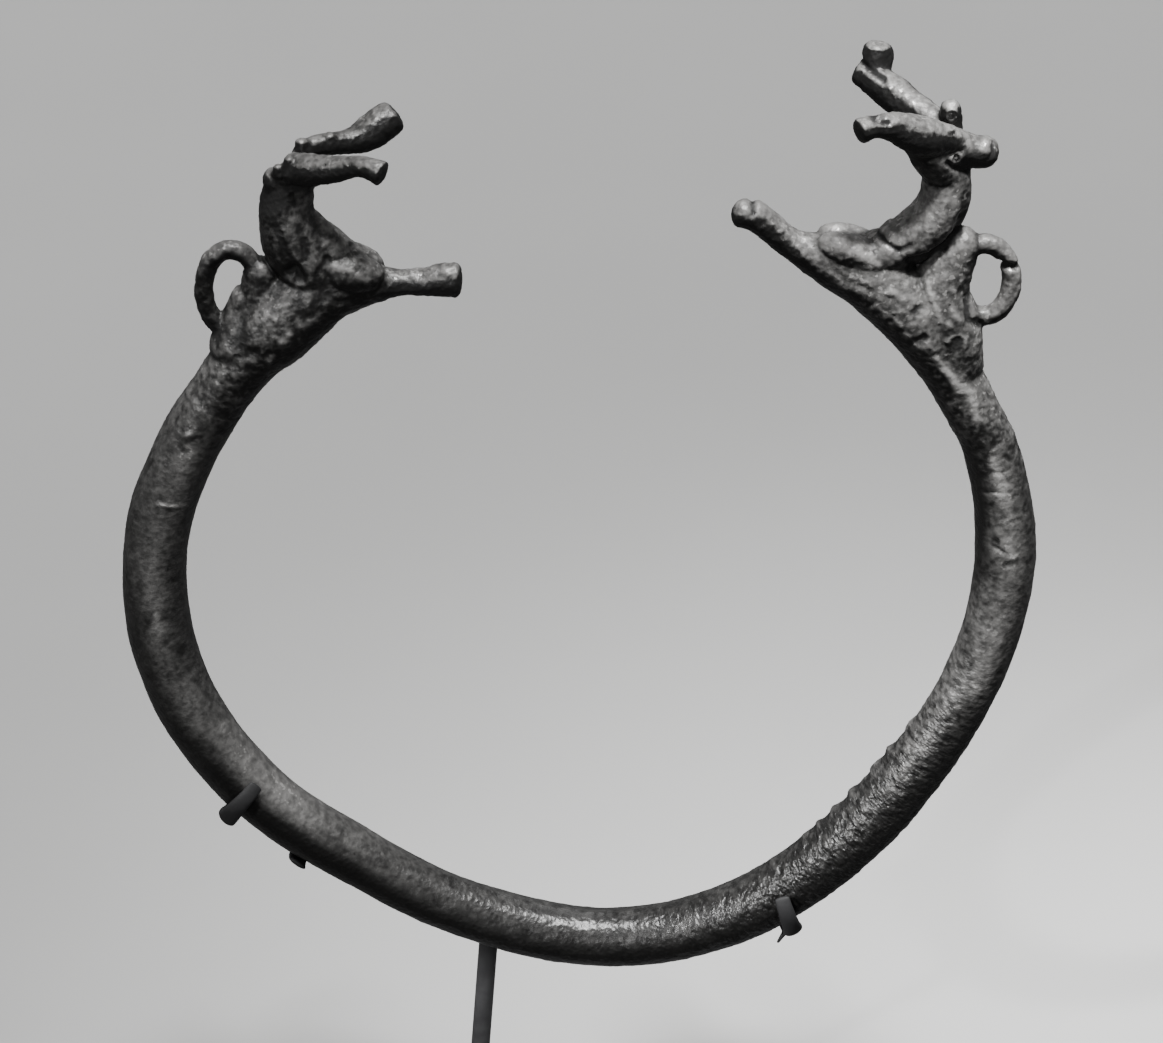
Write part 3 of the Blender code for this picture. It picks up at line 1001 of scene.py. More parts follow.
LEFT_BEAST = Beast(
    length=21.5,
    side=-1,
    root=-115.4,
    limbs=(
        Limb(((0, 0, 0, 11), (12, 0, 18, 12), (22.5, 0, 30, 14.7, 0.95), (32.5, 0, 40, 14.7, 0.85),
              (45, 0, 46, 11.7, 0.9), (65.5, 0, 47.8, 5.2), (75.5, 0, 48.3, 5.2), (83, 0, 49, 6.3, 0.9),
              (87.8, 0, 49, 6.6, 0.9)), 2.6, 0.4),
        Limb(((10, 0, 23, 11), (17, 0, 39, 8), (18.5, 0, 51, 7, 0.9)), 2.4),
        Limb(((5, 0, 27, 5), (9, 0, 33, 6), (12, 0, 42, 5)), 2.4),
        Limb(((36.5, 0, 53.5, 12, 0.9), (30.5, 0, 64.5, 12, 0.85), (28, 0, 75, 10.2, 0.85),
              (29, 0, 84.5, 9.2, 0.8)), 2.4),
        Limb(((35.5, 0, 72, 5), (43, 0, 61, 8), (55, 0, 54, 5.5)), 2.2),
        Limb(((38, 0, 91, 5.2), (31, -0.5, 90.4, 5.6), (26.5, -1.5, 89.5, 5), (23.6, -2, 89, 4.5)),
              2.8, 0.8),
        Limb(((30, -3, 94, 5.6), (37, -6.5, 95.2, 5.8), (45, -10.3, 97, 5.1), (50, -12.8, 98.9, 4.2),
              (55, -15.3, 100.6, 3.8), (59.5, -17.6, 100.3, 4.1), (62.4, -19, 99.5, 4.7)), 3.8, 0.3),
        Limb(((33, 4.5, 93, 4.3), (36, 8, 97, 3.7), (43.6, 11.5, 97, 4), (50, 14.5, 96.8, 4.7),
              (54.5, 17, 97.2, 5.8), (59.2, 19.5, 99.2, 6.6), (63, 21.3, 101.6, 6.5),
              (65.3, 22.4, 103, 6.1)), 3.6, 0.35),
        Limb(((33.8, 5, 94, 2.6), (33.8, 5.5, 100.2, 2.4)), 2.8, 0.7),
        Limb(((43.3, 10.5, 97, 2.6), (43.3, 10.5, 100, 2.4)), 2.4, 0.8),
        Limb(((25.5, -5, 93, 2.2), (25.5, -5.5, 95.2, 1.9)), 2.2),
        Limb(((29.5, -6, 95.5, 2.4), (29.8, -6.5, 98.4, 2.1)), 2.2),
    ),
    tail_loop=(7.7, 0, 45, 10, 16, 3.7),
    shoulder=(50.5, 4, 53.6, 11.8, 7.8, 7),
    shoulder_slope=-10,
    horns_from=88,
    marks=(
        # Stains in grooves paint the shade in them, and pale patches on ridges paint their highlights.
        Mark(((50.3, 64.2), (56.4, 63.4), (61.5, 58.6)), 0.9, -0.6, 0.5, Side.BOTH),
        Mark(((40.6, 48.6), (45.1, 45.4), (53.7, 44.6)), 1.2, -0.4, 0.4, Side.BOTH),
        Mark(((38.6, 54), (39.6, 58), (42.5, 61)), 1.3, -0.4, 0.3, Side.BOTH),
        Mark(((44.5, 58.5), (50.5, 57.5)), 1.6, 0.4, -0.3),
        Mark(((53.5, 55), (56.5, 53)), 1.6, 0.4, -0.4),
        Mark(((28.7, 56), (31, 57.4), (32.2, 54.6)), 2, -2.4, 1.1),
        Mark(((24.6, 73), (26.6, 69), (27.7, 63.6), (29.4, 59.2)), 1.6, -0.4, 0.4),
        Mark(((32, 72.5), (34, 68.4), (34.6, 63.6)), 2, -0.2, 0.35),
        Mark(((26.7, 50), (22.9, 44.5)), 2.2, -0.2, 0.3),
        Mark(((37.7, 44.5), (43, 48)), 1.8, -0.4, 0.4),
        Mark(((31, 47), (34, 40.5)), 2.6, -0.2, 0.3),
        Mark(((14.5, 25.8), (16.3, 25.8)), 1.5, -0.6, 0.4),
        Mark(((28.2, 33.6), (26.3, 30.8)), 1.8, 0.5, -0.4),
        Mark(((21.2, 22.6), (22.5, 24)), 1.4, 0.4, -0.3),
        Mark(((33, 36.5), (37.5, 38.5)), 1.6, 0.4, -0.25),
        # Painted shadow of the head on the neck, then painted shade under the horns.
        Mark(((21.3, 86), (21.8, 79), (26.5, 83.4), (22, 83)), 2.6, 0, 1.4, Side.ROUND),
        Mark(((24.6, 86.5), (30, 88.5), (40, 91)), 1.8, 0, 1.3, Side.ROUND),
        Mark(((33.5, 84), (34.5, 79), (30.5, 76)), 1.8, 0, -0.25),
        Mark(oval_path(28.3, 91.6, 1.9, 1.9), 0.6, 0.5, 0, Side.BOTH),
        Mark(((84, 54.6), (85, 54)), 1.3, 0.4, -0.5),
        Mark(oval_path(7.7, 45, 10, 16, 20, 300), 3.5, 0, 0.34, Side.ROUND),
        Mark(((67, 48), (88, 49.5)), 4.5, 0, 0.16, Side.ROUND),
        Mark(((12, 53.5), (9.5, 55.8), (6.2, 55.8), (3.8, 53.5)), 1.5, -0.2, 1, Side.ROUND),
        Mark(((-4.6, 40), (-2.6, 34), (1.5, 28.4)), 1.7, -0.2, 0.8, Side.ROUND),
        Mark(((1.8, 47.5), (2.6, 41.5), (5.5, 38)), 0.9, 0, 0.5, Side.ROUND),
    ),
)

RIGHT_BEAST = Beast(
    length=23.3,
    side=1,
    root=107.9,
    limbs=(
        Limb(((0, 0, 0, 9), (11.5, 0, 23, 9.5), (22.5, 0, 42.3, 11.8, 0.95), (37.5, 0, 58.2, 12.2, 0.85),
              (52, 0, 65.4, 9.6, 0.9), (66.5, 0, 72.2, 5.4), (77.5, 0, 81.4, 5.2), (83.7, 0, 83.2, 4.6)),
              2.5, 0.6),
        Limb(((12, 0, 29, 10), (14.5, 0, 42, 11.5, 0.9), (17.5, 0, 55.5, 10.3, 0.85),
              (11.5, 0, 71.5, 7, 0.9)), 2.4),
        Limb(((39.5, 0, 68, 8), (28, 0, 74, 8.8), (17.8, 0, 86, 8.8, 0.95), (16.3, 0, 103, 7.6, 0.85)),
              2.3),
        Limb(((17, -1, 98, 6.5), (22, -4, 107, 7.2), (28, -8, 113.5, 4.6)), 2.4),
        Limb(((21, 0, 108, 5.8), (13.5, 0, 106.4, 6.5), (7.6, 0, 105.4, 5.5), (3.8, 0, 105.3, 5.4)),
              2.6, 0.8),
        Limb(((11.5, -1.5, 109, 3.8), (17.5, -4.5, 112, 5), (24.5, -8.5, 114.4, 6.6),
              (30.3, -11.3, 117.8, 5.8), (34.8, -13.3, 120.3, 4.9), (39.5, -15.6, 121.9, 4.1),
              (43, -17.3, 121.9, 4), (45.8, -18.8, 121.4, 4.4)), 3.8, 0.35),
        Limb(((16, 4.5, 110.5, 4.6), (22, 8.5, 113.2, 5.2), (27.9, 13, 115.5, 5.8), (33, 18, 117.6, 6.3),
              (38.5, 21.5, 120.3, 5.6), (42.5, 23.8, 121.6, 4.5), (45, 25, 122.2, 3.8)), 3.8, 0.4),
        Limb(((39.8, 25.3, 122, 5.3), (38.6, 26.6, 127, 5.4), (38.2, 27, 130.4, 4.9)), 2.9, 0.45),
        Limb(((15.2, 4, 111, 3.7), (15.4, 4, 116, 3.6), (15.6, 4, 119.4, 3.2)), 2.8, 0.8),
    ),
    tail_loop=(3.4, 0, 59, 9.5, 13.2, 3.5),
    shoulder=(45.2, 3.6, 69.8, 14.2, 6.6, 5.9),
    shoulder_slope=24,
    horns_from=111.5,
    marks=(
        # Stains in grooves paint the shade in them.
        Mark(((52, 79.6), (47.4, 78.2), (38.6, 77.4), (32.2, 73.5)), 0.8, -0.8, 0.6, Side.BOTH),
        Mark(((58.3, 83.4), (54.4, 83.2), (47.5, 81.2), (40, 80.4), (34, 78.2)), 1, 0.7, 0, Side.BOTH),
        Mark(((54, 67.5), (50, 64), (41, 59.8), (33.3, 62.4)), 1.2, -0.3, 0, Side.BOTH),
        # Small pale patches that paint glints on the flank.
        Mark(((21.7, 61.3), (21.5, 57.7)), 0.9, 0.3, -0.5),
        Mark(((14.3, 60), (13.2, 58.2)), 0.9, 0.3, -0.5),
        Mark(((32.2, 48.9), (31, 47.6)), 1, 0.3, -0.5),
        Mark(((14.9, 48.2), (14.2, 46.8)), 1, 0.3, -0.5),
        Mark(((48.5, 70), (44.5, 68.6)), 1.5, -0.4, 0.5),
        Mark(((51.5, 74.5), (44.5, 73), (38.5, 69.5)), 1.6, 0.3, -0.3),
        Mark(((10.9, 84.6), (12.2, 79.1), (17, 73.2), (22, 70.6), (27.8, 69.5)), 1.7, -1.5, 0.9),
        Mark(((31.5, 74), (28, 75.6)), 1, -0.4, 0.4),
        Mark(((27.8, 68.4), (27, 65.8)), 1.7, -1.6, 1),
        Mark(((25.8, 52.6), (25.2, 53.4)), 1.5, -0.6, 0.5),
        Mark(((12.4, 40.2), (11.8, 40.8)), 1.6, -0.5, 0.6),
        Mark(oval_path(12.2, 40.4, 3.2, 3.2, 20, 200), 0.7, 0.3, -0.2),
        Mark(((24.6, 42), (23, 43.5)), 1.4, -0.5, 0.3),
        Mark(((15.5, 47), (9.5, 37), (6, 30)), 3.4, 0, 0.35),
        Mark(((20.5, 57), (18, 49)), 1.4, 0.4, -0.3),
        Mark(((13.6, 52), (11.2, 48.2)), 1.3, 0.4, -0.35),
        Mark(((34.4, 59.5), (29.5, 57)), 1.3, 0.3, -0.25),
        Mark(((18.6, 35), (13.5, 27.5), (10.6, 22)), 1.3, 0.4, -0.5),
        Mark(((9, 55.5), (8.5, 48.5), (4, 44.8)), 1, -0.9, 0.5),
        Mark(((10.4, 100.8), (10.6, 92), (11, 85)), 1.8, 0, 0.6),
        # Painted shade under the horn.
        Mark(((34, 114.5), (30, 110), (27.5, 105.5)), 2.8, 0, 1.3, Side.ROUND),
        Mark(oval_path(14.1, 106.4, 1.7, 1.7), 0.5, 0.6, -0.2, Side.BOTH),
        Mark(((14.1, 106.4), (14, 106.4)), 0.6, 0.5, -0.2, Side.BOTH),
        Mark(((10.5, 104.3), (6.5, 102.6), (3, 102.6)), 1.8, -0.9, 0.6, Side.BOTH),
        # Painted shade on the lower half of the muzzle.
        Mark(((9.5, 104.6), (5.5, 104.8), (1.5, 104.9), (-1, 106.5)), 3, 0, 1.1),
        Mark(((15.2, 30.7), (11.2, 25), (6.6, 21), (4.4, 12.1)), 1.6, 0.2, -0.6),
        Mark(((19.5, 100), (19, 92), (24, 83)), 3.4, 0, -0.2),
        Mark(oval_path(3.4, 59, 9.5, 13.2, -120, 120), 3.5, 0, 0.22, Side.ROUND),
        Mark(((16.6, 105.5), (14.3, 103), (12, 101.4), (9.7, 100.1)), 0.9, -0.9, 0.6, Side.BOTH),
        Mark(((1.9, 111.1), (1.9, 107), (3, 105)), 0.7, -0.8, 0.4, Side.BOTH),
        Mark(((4.6, 109.6), (5.2, 108.2)), 1.3, 0.8, -0.6),
        Mark(((15.4, 113), (15.4, 120)), 3.6, 0, -0.35, Side.ROUND),
        Mark(oval_path(15.4, 118, 1.7, 1.9), 0.45, 0.5),
        Mark(((15.4, 118), (15.3, 118)), 0.5, 0.5),
        Mark(((44.6, 127.6), (41.2, 125.4), (37, 124)), 0.9, -0.7, 0.9, Side.ROUND),
        Mark(((82.3, 87), (82.8, 87)), 1.6, 0.4, 0.1, Side.ROUND),
        Mark(((77, 86.8), (77.5, 86.8)), 1.6, 0.4, 0, Side.ROUND),
        Mark(((79.9, 88), (79.6, 85.5)), 0.9, -0.6, 0.5, Side.ROUND),
        Mark(((-1.4, 65.6), (-4.7, 65.6), (-7.6, 64.9)), 1, -1.8, 1, Side.ROUND),
        Mark(((6.8, 67.6), (3, 69.8), (-1.5, 68.6), (-3, 66)), 1.5, -0.2, 1, Side.ROUND),
    ),
)

KNOCKS = tuple(Knock(*row) for row in (
    (28.9, -180, 0.5, 0.8, 0.2), (35, -184, 0.5, 0.9, 0.22), (37.9, -188, 0.4, 0.8, 0.26),
    (41.2, -190, 0.6, 0.9, 0.3), (45, -190, 0.55, 1, 0.32), (50.5, -190, 0.6, 0.8, 0.24),
    (54.1, -190, 0.5, 0.9, 0.26), (59.4, -190, 0.6, 0.8, 0.2), (94.2, -112, 0.35, 0.3, -0.15),
    (93, -104, 0.18, 0.7, -0.1, 30), (90.8, -88, 0.3, 0.35, -0.14), (91.6, -80, 0.16, 0.6, 0.09, -25),
    (101.7, -100, 0.14, 1, -0.06, 8), (97.5, -75, 0.14, 0.8, 0.05, -10), (104.5, -85, 0.16, 0.8, -0.05, 5),
    (-82.7, -95, 0.45, 0.3, 0.16), (-111.2, -73, 0.5, 0.3, 0.18, 35), (-108.8, -84, 0.3, 0.3, -0.08),
    (-105.4, -24, 0.35, 0.2, 0.14), (-100.1, -92, 0.14, 0.9, 0.14)))


@dataclass
class Bracelet:
    """The casting: the band and a beast at each end.

    Rows that start with an angle round the ring are read between. The patina rows say how dusty the bronze
    is, and the rows after them how much of the dust lies on top alone; these also paint the bar paler where
    it faces up and darker where it does not, as if lit from above. crumble is how rough the skin is. A streak
    is (angle, turn, half sizes along and round in degrees, lightening added): it paints a sheen or a glint,
    and below 0 a band of shade. The ridges run between the ridged angles and fade at each end over the ridge
    fades.
    """

    band: Band = Band()
    beasts: tuple[Beast, ...] = (LEFT_BEAST, RIGHT_BEAST)
    knocks: tuple[Knock, ...] = KNOCKS
    finish: CorrodedBronze = CorrodedBronze()
    sides: int = 40
    voxel: float = 0.1
    softening: int = 9
    triangles: int = 190_000
    ridged_angles: tuple[float, float] = (4.0, 80.0)
    ridge_fades: tuple[float, float] = (30.0, 25.0)
    lean_back: float = 10.0
    top_light_gain: float = 1.6
    top_light_rise: tuple[float, float] = (0.05, 0.75)
    crease_reach: int = 6
    crease_depth: float = 0.035
    crease_shade: float = 0.3
    edge_shade: float = 0.2
    patina_and_light: tuple[Row, ...] = (
        (-180, 0.55), (-125, 0.5), (-112, 0.38), (-90, 0.36), (-52, 0.45), (-25, 0.2), (0, 0.15), (30, 0.12),
        (50, 0.22), (75, 0.6), (95, 0.62), (106, 0.5), (112, 0.56), (119, 0.8), (180, 0.8))
    top_lighting: tuple[Row, ...] = (
        (-116, 0.4), (-95, 0.3), (-70, 0.7), (-40, 0.8), (0, 0.6), (30, 0.8), (60, 0.8), (80, 0.4),
        (95, 0.4), (108, 0.7), (116, 0))
    sheen_and_shade_streaks: tuple[Row, ...] = (
        (-86, -92, 14, 24, 0.28), (-108.5, -88, 2.2, 16, 0.4), (-81.5, -96, 1.3, 12, 0.6),
        (-100.1, -94, 0.7, 24, 0.35), (-104.5, -98, 3, 14, 0.15), (-68, -108, 9, 30, 0.2),
        (-50, -128, 7, 26, 0.3), (103.5, -82, 4, 28, 0.35), (98, -80, 3, 24, 0.2), (93, -84, 3, 30, 0.25),
        (80, -92, 7, 30, 0.2), (72, -88, 3, 22, 0.25), (58, -118, 14, 20, 0.15),
        (101, -152, 13, 24, -0.5), (96, -40, 16, 24, -0.15), (106.5, -86, 2.6, 13, 0.45),
        (102, -84, 3, 13, 0.3), (-46, -86, 14, 18, -0.25))
    crumble: tuple[Row, ...] = (
        (-180, 0.7), (-119, 0.7), (-112, 0.35), (-100, 0.2), (-30, 0.2), (0, 0.35), (20, 0.35), (40, 0.35),
        (80, 0.3), (100, 0.35), (112, 0.8), (116, 0.65), (180, 0.65))

    def carve(self, mesh: bpy.types.Mesh) -> None:
        """Carves the beasts' marks and the bar's knocks, and stores where each point is on the bar.

        Args:
            mesh: the melted casting.
        """
        move_points(mesh, self.band.trued(points_of(mesh)[0]))
        places, normals = points_of(mesh)
        angles, turns, on_bar = self.band.coordinates(places)
        lift = sum(beast.lift(self.band, places, normals) for beast in self.beasts)
        lift += on_bar * sum(knock.heights(self.band, angles, turns) for knock in self.knocks)
        move_points(mesh, places + normals * lift[:, None])

        (low, high), (rise, fall) = self.ridged_angles, self.ridge_fades
        ridged = np.clip((angles - low) / rise, 0.0, 1.0) * np.clip((high - angles) / fall, 0.0, 1.0)
        along, around = np.radians(angles) * self.band.half_width, np.radians(turns)
        half = self.band.diameter / 2
        store(mesh, "bar", np.column_stack((along, half * np.cos(around), half * np.sin(around))))
        store(mesh, "ridged", on_bar * ridged)
        store(mesh, "crumble", np.interp(angles, *zip(*self.crumble)))

    def weather_and_light(self, mesh: bpy.types.Mesh) -> None:
        """Stores where the bronze is worn or dusty and where light is painted on it, and where stains and
        painted shade darken it.

        Args:
            mesh: the carved casting.
        """
        places, normals = points_of(mesh)
        angles, turns, on_bar = self.band.coordinates(places)
        lean = math.radians(self.lean_back)
        rising = normals[:, 2] * math.cos(lean) - normals[:, 1] * math.sin(lean)
        patina_and_light, top_lighting = np.interp(angles, *zip(*self.patina_and_light)), np.interp(angles, *zip(*self.top_lighting))
        # Painted light: faces of the bar that point up are made paler and the rest darker, as if lit from
        # above, on top of the dust that lies there.
        patina_and_light *= 1.0 + top_lighting * (self.top_light_gain * eased(rising, *self.top_light_rise) - 1.0)
        # Painted sheens and glints on the bar, and below 0 painted bands of shade.
        for angle, turn, along, around, gain in self.sheen_and_shade_streaks:
            off = np.hypot((angles - angle) / along, turned_by(turns, turn) / around)
            patina_and_light += on_bar * gain * np.exp(-off ** 2)
        crease = hollows(mesh, self.crease_reach, self.crease_depth)
        shade = self.crease_shade * np.maximum(crease, 0.0)
        for beast in self.beasts:
            dust_and_light, stain_and_shading = beast.weather_and_light(self.band, places, normals, rising)
            patina_and_light, shade = patina_and_light * dust_and_light, shade + stain_and_shading
        # This holds patina together with painted light, and the next holds painted shade, stains and painted
        # glints.
        store(mesh, "patina_and_light", patina_and_light)
        store(mesh, "shade", shade + self.edge_shade * np.minimum(crease, 0.0) * patina_and_light)

    def build(self, place: Matrix, sweeper: SweepTree) -> bpy.types.Object:
        """Builds the casting.

        Args:
            place: turns the ring's millimetres into metres of the whole.
            sweeper: the tree that sweeps courses.

        Returns:
            The finished piece.
        """
        courses = [self.band.as_course()]
        for beast in self.beasts:
            courses += beast.courses(self.band)
        coarse = 1.0
        softening = round(self.softening / coarse ** 2)
        mesh = melted(sweeper.sweep("bracelet", courses, self.sides), self.voxel * coarse, softening)
        self.carve(mesh)
        mesh = SkinTree().run(mesh, Material=self.finish.material(), Seed=self.finish.seed,
                              Swelling=0.06, Lump=0.06, Knob=0.03, Pit=0.045, Grain=0.05, Ridge=0.05)
        mesh = thinned(mesh, self.triangles)
        self.weather_and_light(mesh)
        return finish_piece("bronze_bracelet", mesh, place, "bracelet")


@dataclass
class Cradle:
    """The holder: a wire behind the bar with a claw at each end, a stub, a spike and the rod.

    Lengths are in millimetres, and courses are rows of (angle, turn) as the band has them. The claws' tip,
    flattening and taper are shares. The paint is nearly black down to the first of the toned drops below
    the ring and grey from the second: the wire and claws are painted dark, and the fade down the top of the
    rod paints the shade that the bar casts on it. Each row of the solder is a share of the rod's length and
    what the bead adds to its radius.
    """

    band: Band = Band()
    paint: GreyPaint = GreyPaint()
    gap: float = 0.3
    wire_diameter: float = 1.4
    rod_diameter: float = 1.55
    claw_thickness: float = 1.0
    claw_width: float = 1.7
    claw_tip: float = 0.45
    flattening: float = 0.4
    taper: float = 0.625
    claw_stretches: int = 4
    claw_square: float = 6.0
    stub_thickness: float = 0.5
    stub_square: float = 5.0
    spike_diameter: float = 0.5
    spike_length: float = 1.1
    spike_root: Row = (25.9, -6.0)
    spike_angle: float = 24.4
    rod_angle: float = -11.8
    rod_lean: float = 3.8
    wire_turn: float = 61.0
    wire_course: tuple[Row, ...] = (
        (-53, -116), (-52.2, -75), (-50.8, -30), (-49.8, 5), (-48.4, 38), (-45, 58), (-38, wire_turn),
        (-12, wire_turn), (16, wire_turn), (22, 58), (25.4, 38), (26.4, 5), (27.2, -30), (27.9, -68),
        (28.6, -104))
    stub_course: tuple[Row, ...] = ((-39, wire_turn), (-39.2, 20), (-39.4, -16))
    end_bulge: float = 0.3
    solder: tuple[Row, ...] = (
        (0, 0), (0.012, 0.16), (0.025, 0.2), (0.045, 0.08), (0.07, 0), (0.5, 0), (1, 0))
    steps: int = 12
    sides: int = 28
    voxel: float = 0.07
    softening: int = 4
    triangles: int = 60_000
    toned_drops: tuple[float, float] = (2.0, 8.0)

    def bent(self, course: Sequence[Row], half_thick: np.ndarray | float, half_wide: np.ndarray | float,
             square: np.ndarray | float) -> Course:
        """Bends wire or strip round the bar.

        Args:
            course: rows of (angle, turn).
            half_thick: half the thickness at each fine row.
            half_wide: half the width at each fine row.
            square: the section's squareness.

        Returns:
            The course to sweep.
        """
        rows = smooth_course(course, self.steps)
        thick, wide, square = (np.broadcast_to(size, len(rows)) for size in (half_thick, half_wide, square))
        places, directions = self.band.beside(rows[:, 0], rows[:, 1], self.gap + thick)
        swept = Course.through(np.column_stack((places, wide, thick / wide)), self.end_bulge)
        caps = len(END_LATITUDES)
        swept.guides = np.pad(directions, ((caps, caps), (0, 0)), mode="edge")
        swept.square = np.pad(square, caps, mode="edge")
        return swept

    def wire(self) -> Course:
        """Makes the wire, round between the claws and flat in them.

        Returns:
            The course to sweep.
        """
        stretches = len(self.wire_course) - 1
        share = np.linspace(0.0, 1.0, stretches * self.steps + 1)
        claw = self.claw_stretches / stretches
        into_claw = np.maximum.reduce((claw - share, share - 1.0 + claw, np.zeros_like(share))) / claw
        flat = np.minimum(1.0, into_claw / self.flattening)
        taper = np.maximum(0.0, 1.0 - (1.0 - into_claw) / self.taper)
        thinned_to = 1.0 - (1.0 - self.claw_tip) * taper
        thickness = self.wire_diameter + (self.claw_thickness - self.wire_diameter) * flat
        width = self.wire_diameter + (self.claw_width - self.wire_diameter) * flat
        return self.bent(self.wire_course, thickness / 2 * thinned_to, width / 4 * (1 + thinned_to),
                         2.0 + (self.claw_square - 2.0) * flat)

    def stub(self) -> Course:
        """Makes the short strip beside the left claw."""
        return self.bent(self.stub_course, self.stub_thickness / 2, self.claw_width / 2, self.stub_square)

    def spike(self) -> Course:
        """Makes the thin spike by the right claw.

        Returns:
            The course to sweep.
        """
        angle, turn = self.spike_root
        standoff = self.gap + np.array((self.claw_thickness / 2, self.spike_length))
        ends, _ = self.band.beside(np.array((angle, self.spike_angle)), np.full(2, turn), standoff)
        radius = self.spike_diameter / 2
        return Course.through(np.linspace((*ends[0], radius, 1.0), (*ends[1], radius / 2, 1.0), 6), 1.0)

    def rod(self, stand: "Stand") -> Course:
        """Makes the rod, with a bead of solder where it meets the wire.

        Args:
            stand: where the ring and the foot are.

        Returns:
            The course to sweep.
        """
        to_ring = stand.ring_place(self.band).inverted()
        head, end = (np.array(to_ring @ place) for place in stand.rod_ends(self))
        share, bead = np.array(self.solder).T
        return Course(head + (end - head) * share[:, None], self.rod_diameter / 2 + bead, BACK)

    def build(self, stand: "Stand", sweeper: SweepTree) -> bpy.types.Object:
        """Builds the cradle.

        Args:
            stand: where the ring and the foot are.
            sweeper: the tree that sweeps courses.

        Returns:
            The finished piece.
        """
        courses = [self.wire(), self.stub(), self.spike(), self.rod(stand)]
        mesh = melted(sweeper.sweep("cradle", courses, self.sides), self.voxel, self.softening)
        mesh = thinned(mesh, self.triangles)
        mesh.materials.clear()
        mesh.materials.append(self.paint.material())
        # Painted shade: the rod darkens towards the bar above it, into the dark paint of the wire and claws.
        drops = -points_of(mesh)[0][:, 2] - self.band.at(0.0)[0]
        store(mesh, "toned", eased(drops, *self.toned_drops))
        return finish_piece("cradle_wire", mesh, METRES @ stand.ring_place(self.band), "cradle")


@dataclass
class Stand:
    """The foot, and where it puts the leaning ring and the rod. Lengths are in millimetres."""

    paint: GreyPaint = GreyPaint("foot_paint", seed=17.0)
    tone: float = 0.5
    lean_back: float = 10.0
    clear_height: float = 29.5
    width: float = 48.0
    depth: float = 30.0
    thickness: float = 3.0
    corner: float = 3.0
    corner_steps: int = 16
    side_steps: int = 8
    edge: float = 0.4
    edge_steps: int = 7
    socket_share: float = 0.6

    def ring_place(self, band: Band) -> Matrix:
        """Places the leaning ring above the foot.

        Args:
            band: the ring's bar.

        Returns:
            What turns the ring's millimetres into the whole's.
        """
        lean = math.radians(self.lean_back)
        drop = float(band.at(0.0)[0]) * math.cos(lean)
        height = self.thickness + self.clear_height + band.diameter / 2 + drop
        return Matrix.Translation((0.0, 0.0, height)) @ Matrix.Rotation(-lean, 4, "X")

    def rod_ends(self, cradle: Cradle) -> tuple[Vector, Vector]:
        """Finds where the rod runs.

        Args:
            cradle: the cradle that it carries.

        Returns:
            The middle of its upper and lower ends, in the whole's millimetres.
        """
        thickest = max(cradle.wire_diameter, cradle.rod_diameter) / 2
        places, _ = cradle.band.beside(np.array((cradle.rod_angle,)), np.array((cradle.wire_turn,)),
                                       cradle.gap + thickest)
        head = self.ring_place(cradle.band) @ Vector(places[0])
        floor = self.thickness * (1.0 - self.socket_share) + cradle.gap
        lean = math.tan(math.radians(cradle.rod_lean))
        return head, Vector((head.x - (head.z - floor) * lean, head.y, floor))

    def outline(self, inset: float) -> np.ndarray:
        """Gives the plate's outline.

        Args:
            inset: how far inside the edge it runs.

        Returns:
            Places on the level, anticlockwise.
        """
        x, y = self.width / 2 - self.corner, self.depth / 2 - self.corner
        radius = self.corner - inset
        arcs = []
        for along, up, start in ((x, y, 0.0), (-x, y, 90.0), (-x, -y, 180.0), (x, -y, 270.0)):
            turns = np.radians(start + np.linspace(0.0, 90.0, self.corner_steps))
            arcs.append(np.column_stack((along + radius * np.cos(turns), up + radius * np.sin(turns))))
        points = []
        for arc, following in zip(arcs, arcs[1:] + arcs[:1]):
            points += [arc, np.linspace(arc[-1], following[0], self.side_steps + 2)[1:-1]]
        return np.vstack(points)

    def build(self, cradle: Cradle) -> bpy.types.Object:
        """Builds the foot: a plate with rounded corners and edges, and a socket for the rod.

        Args:
            cradle: the cradle whose rod it holds.

        Returns:
            The finished piece.
        """
        head, end = self.rod_ends(cradle)
        along = (head - end).normalized()
        hole = cradle.rod_diameter / 2 + cradle.gap
        floor = end.z - cradle.gap
        top, small = self.thickness, self.edge / 4

        turns = np.radians(np.linspace(0.0, 90.0, self.edge_steps))
        profile = [(2 * small, 0.0), (small, 0.0), (0.3 * small, 0.3 * small), (0.0, small), (0.0, 2 * small),
                   (0.0, top - self.edge - small)]
        profile += [(self.edge * (1 - math.cos(turn)), top - self.edge * (1 - math.sin(turn)))
                    for turn in turns]
        profile.append((self.edge + 2 * small, top))
        rings = [(np.zeros((1, 2)), 0.0)] + [(self.outline(inset), height) for inset, height in profile]
        for radius, height in ((hole + 3 * small, top), (hole + small, top),
                               (hole + 0.3 * small, top - 0.3 * small), (hole, top - small),
                               (hole, floor + small), (hole - small, floor), (0.0, floor)):
            middle = np.array((end + along * ((height - end.z) / along.z)).xy)
            rays = self.outline(0.0) - middle
            rings.append((middle + rays / np.linalg.norm(rays, axis=1)[:, None] * radius, height))

        bm = bmesh.new()
        loops = [[bm.verts.new((*point, height)) for point in points] for points, height in rings]
        count = len(loops[1])
        for lower, upper in zip(loops, loops[1:]):
            for i in range(count):
                j = (i + 1) % count
                corners = (lower[i % len(lower)], lower[j % len(lower)], upper[j], upper[i])
                bm.faces.new(dict.fromkeys(corners)).smooth = True
        bmesh.ops.remove_doubles(bm, verts=bm.verts, dist=1e-5)
        bmesh.ops.recalc_face_normals(bm, faces=bm.faces)
        mesh = bpy.data.meshes.new("foot")
        bm.to_mesh(mesh)
        bm.free()
        mesh.materials.append(self.paint.material())
        store(mesh, "toned", np.full(len(mesh.vertices), self.tone))
        return finish_piece("foot_plate", mesh, METRES, "foot")


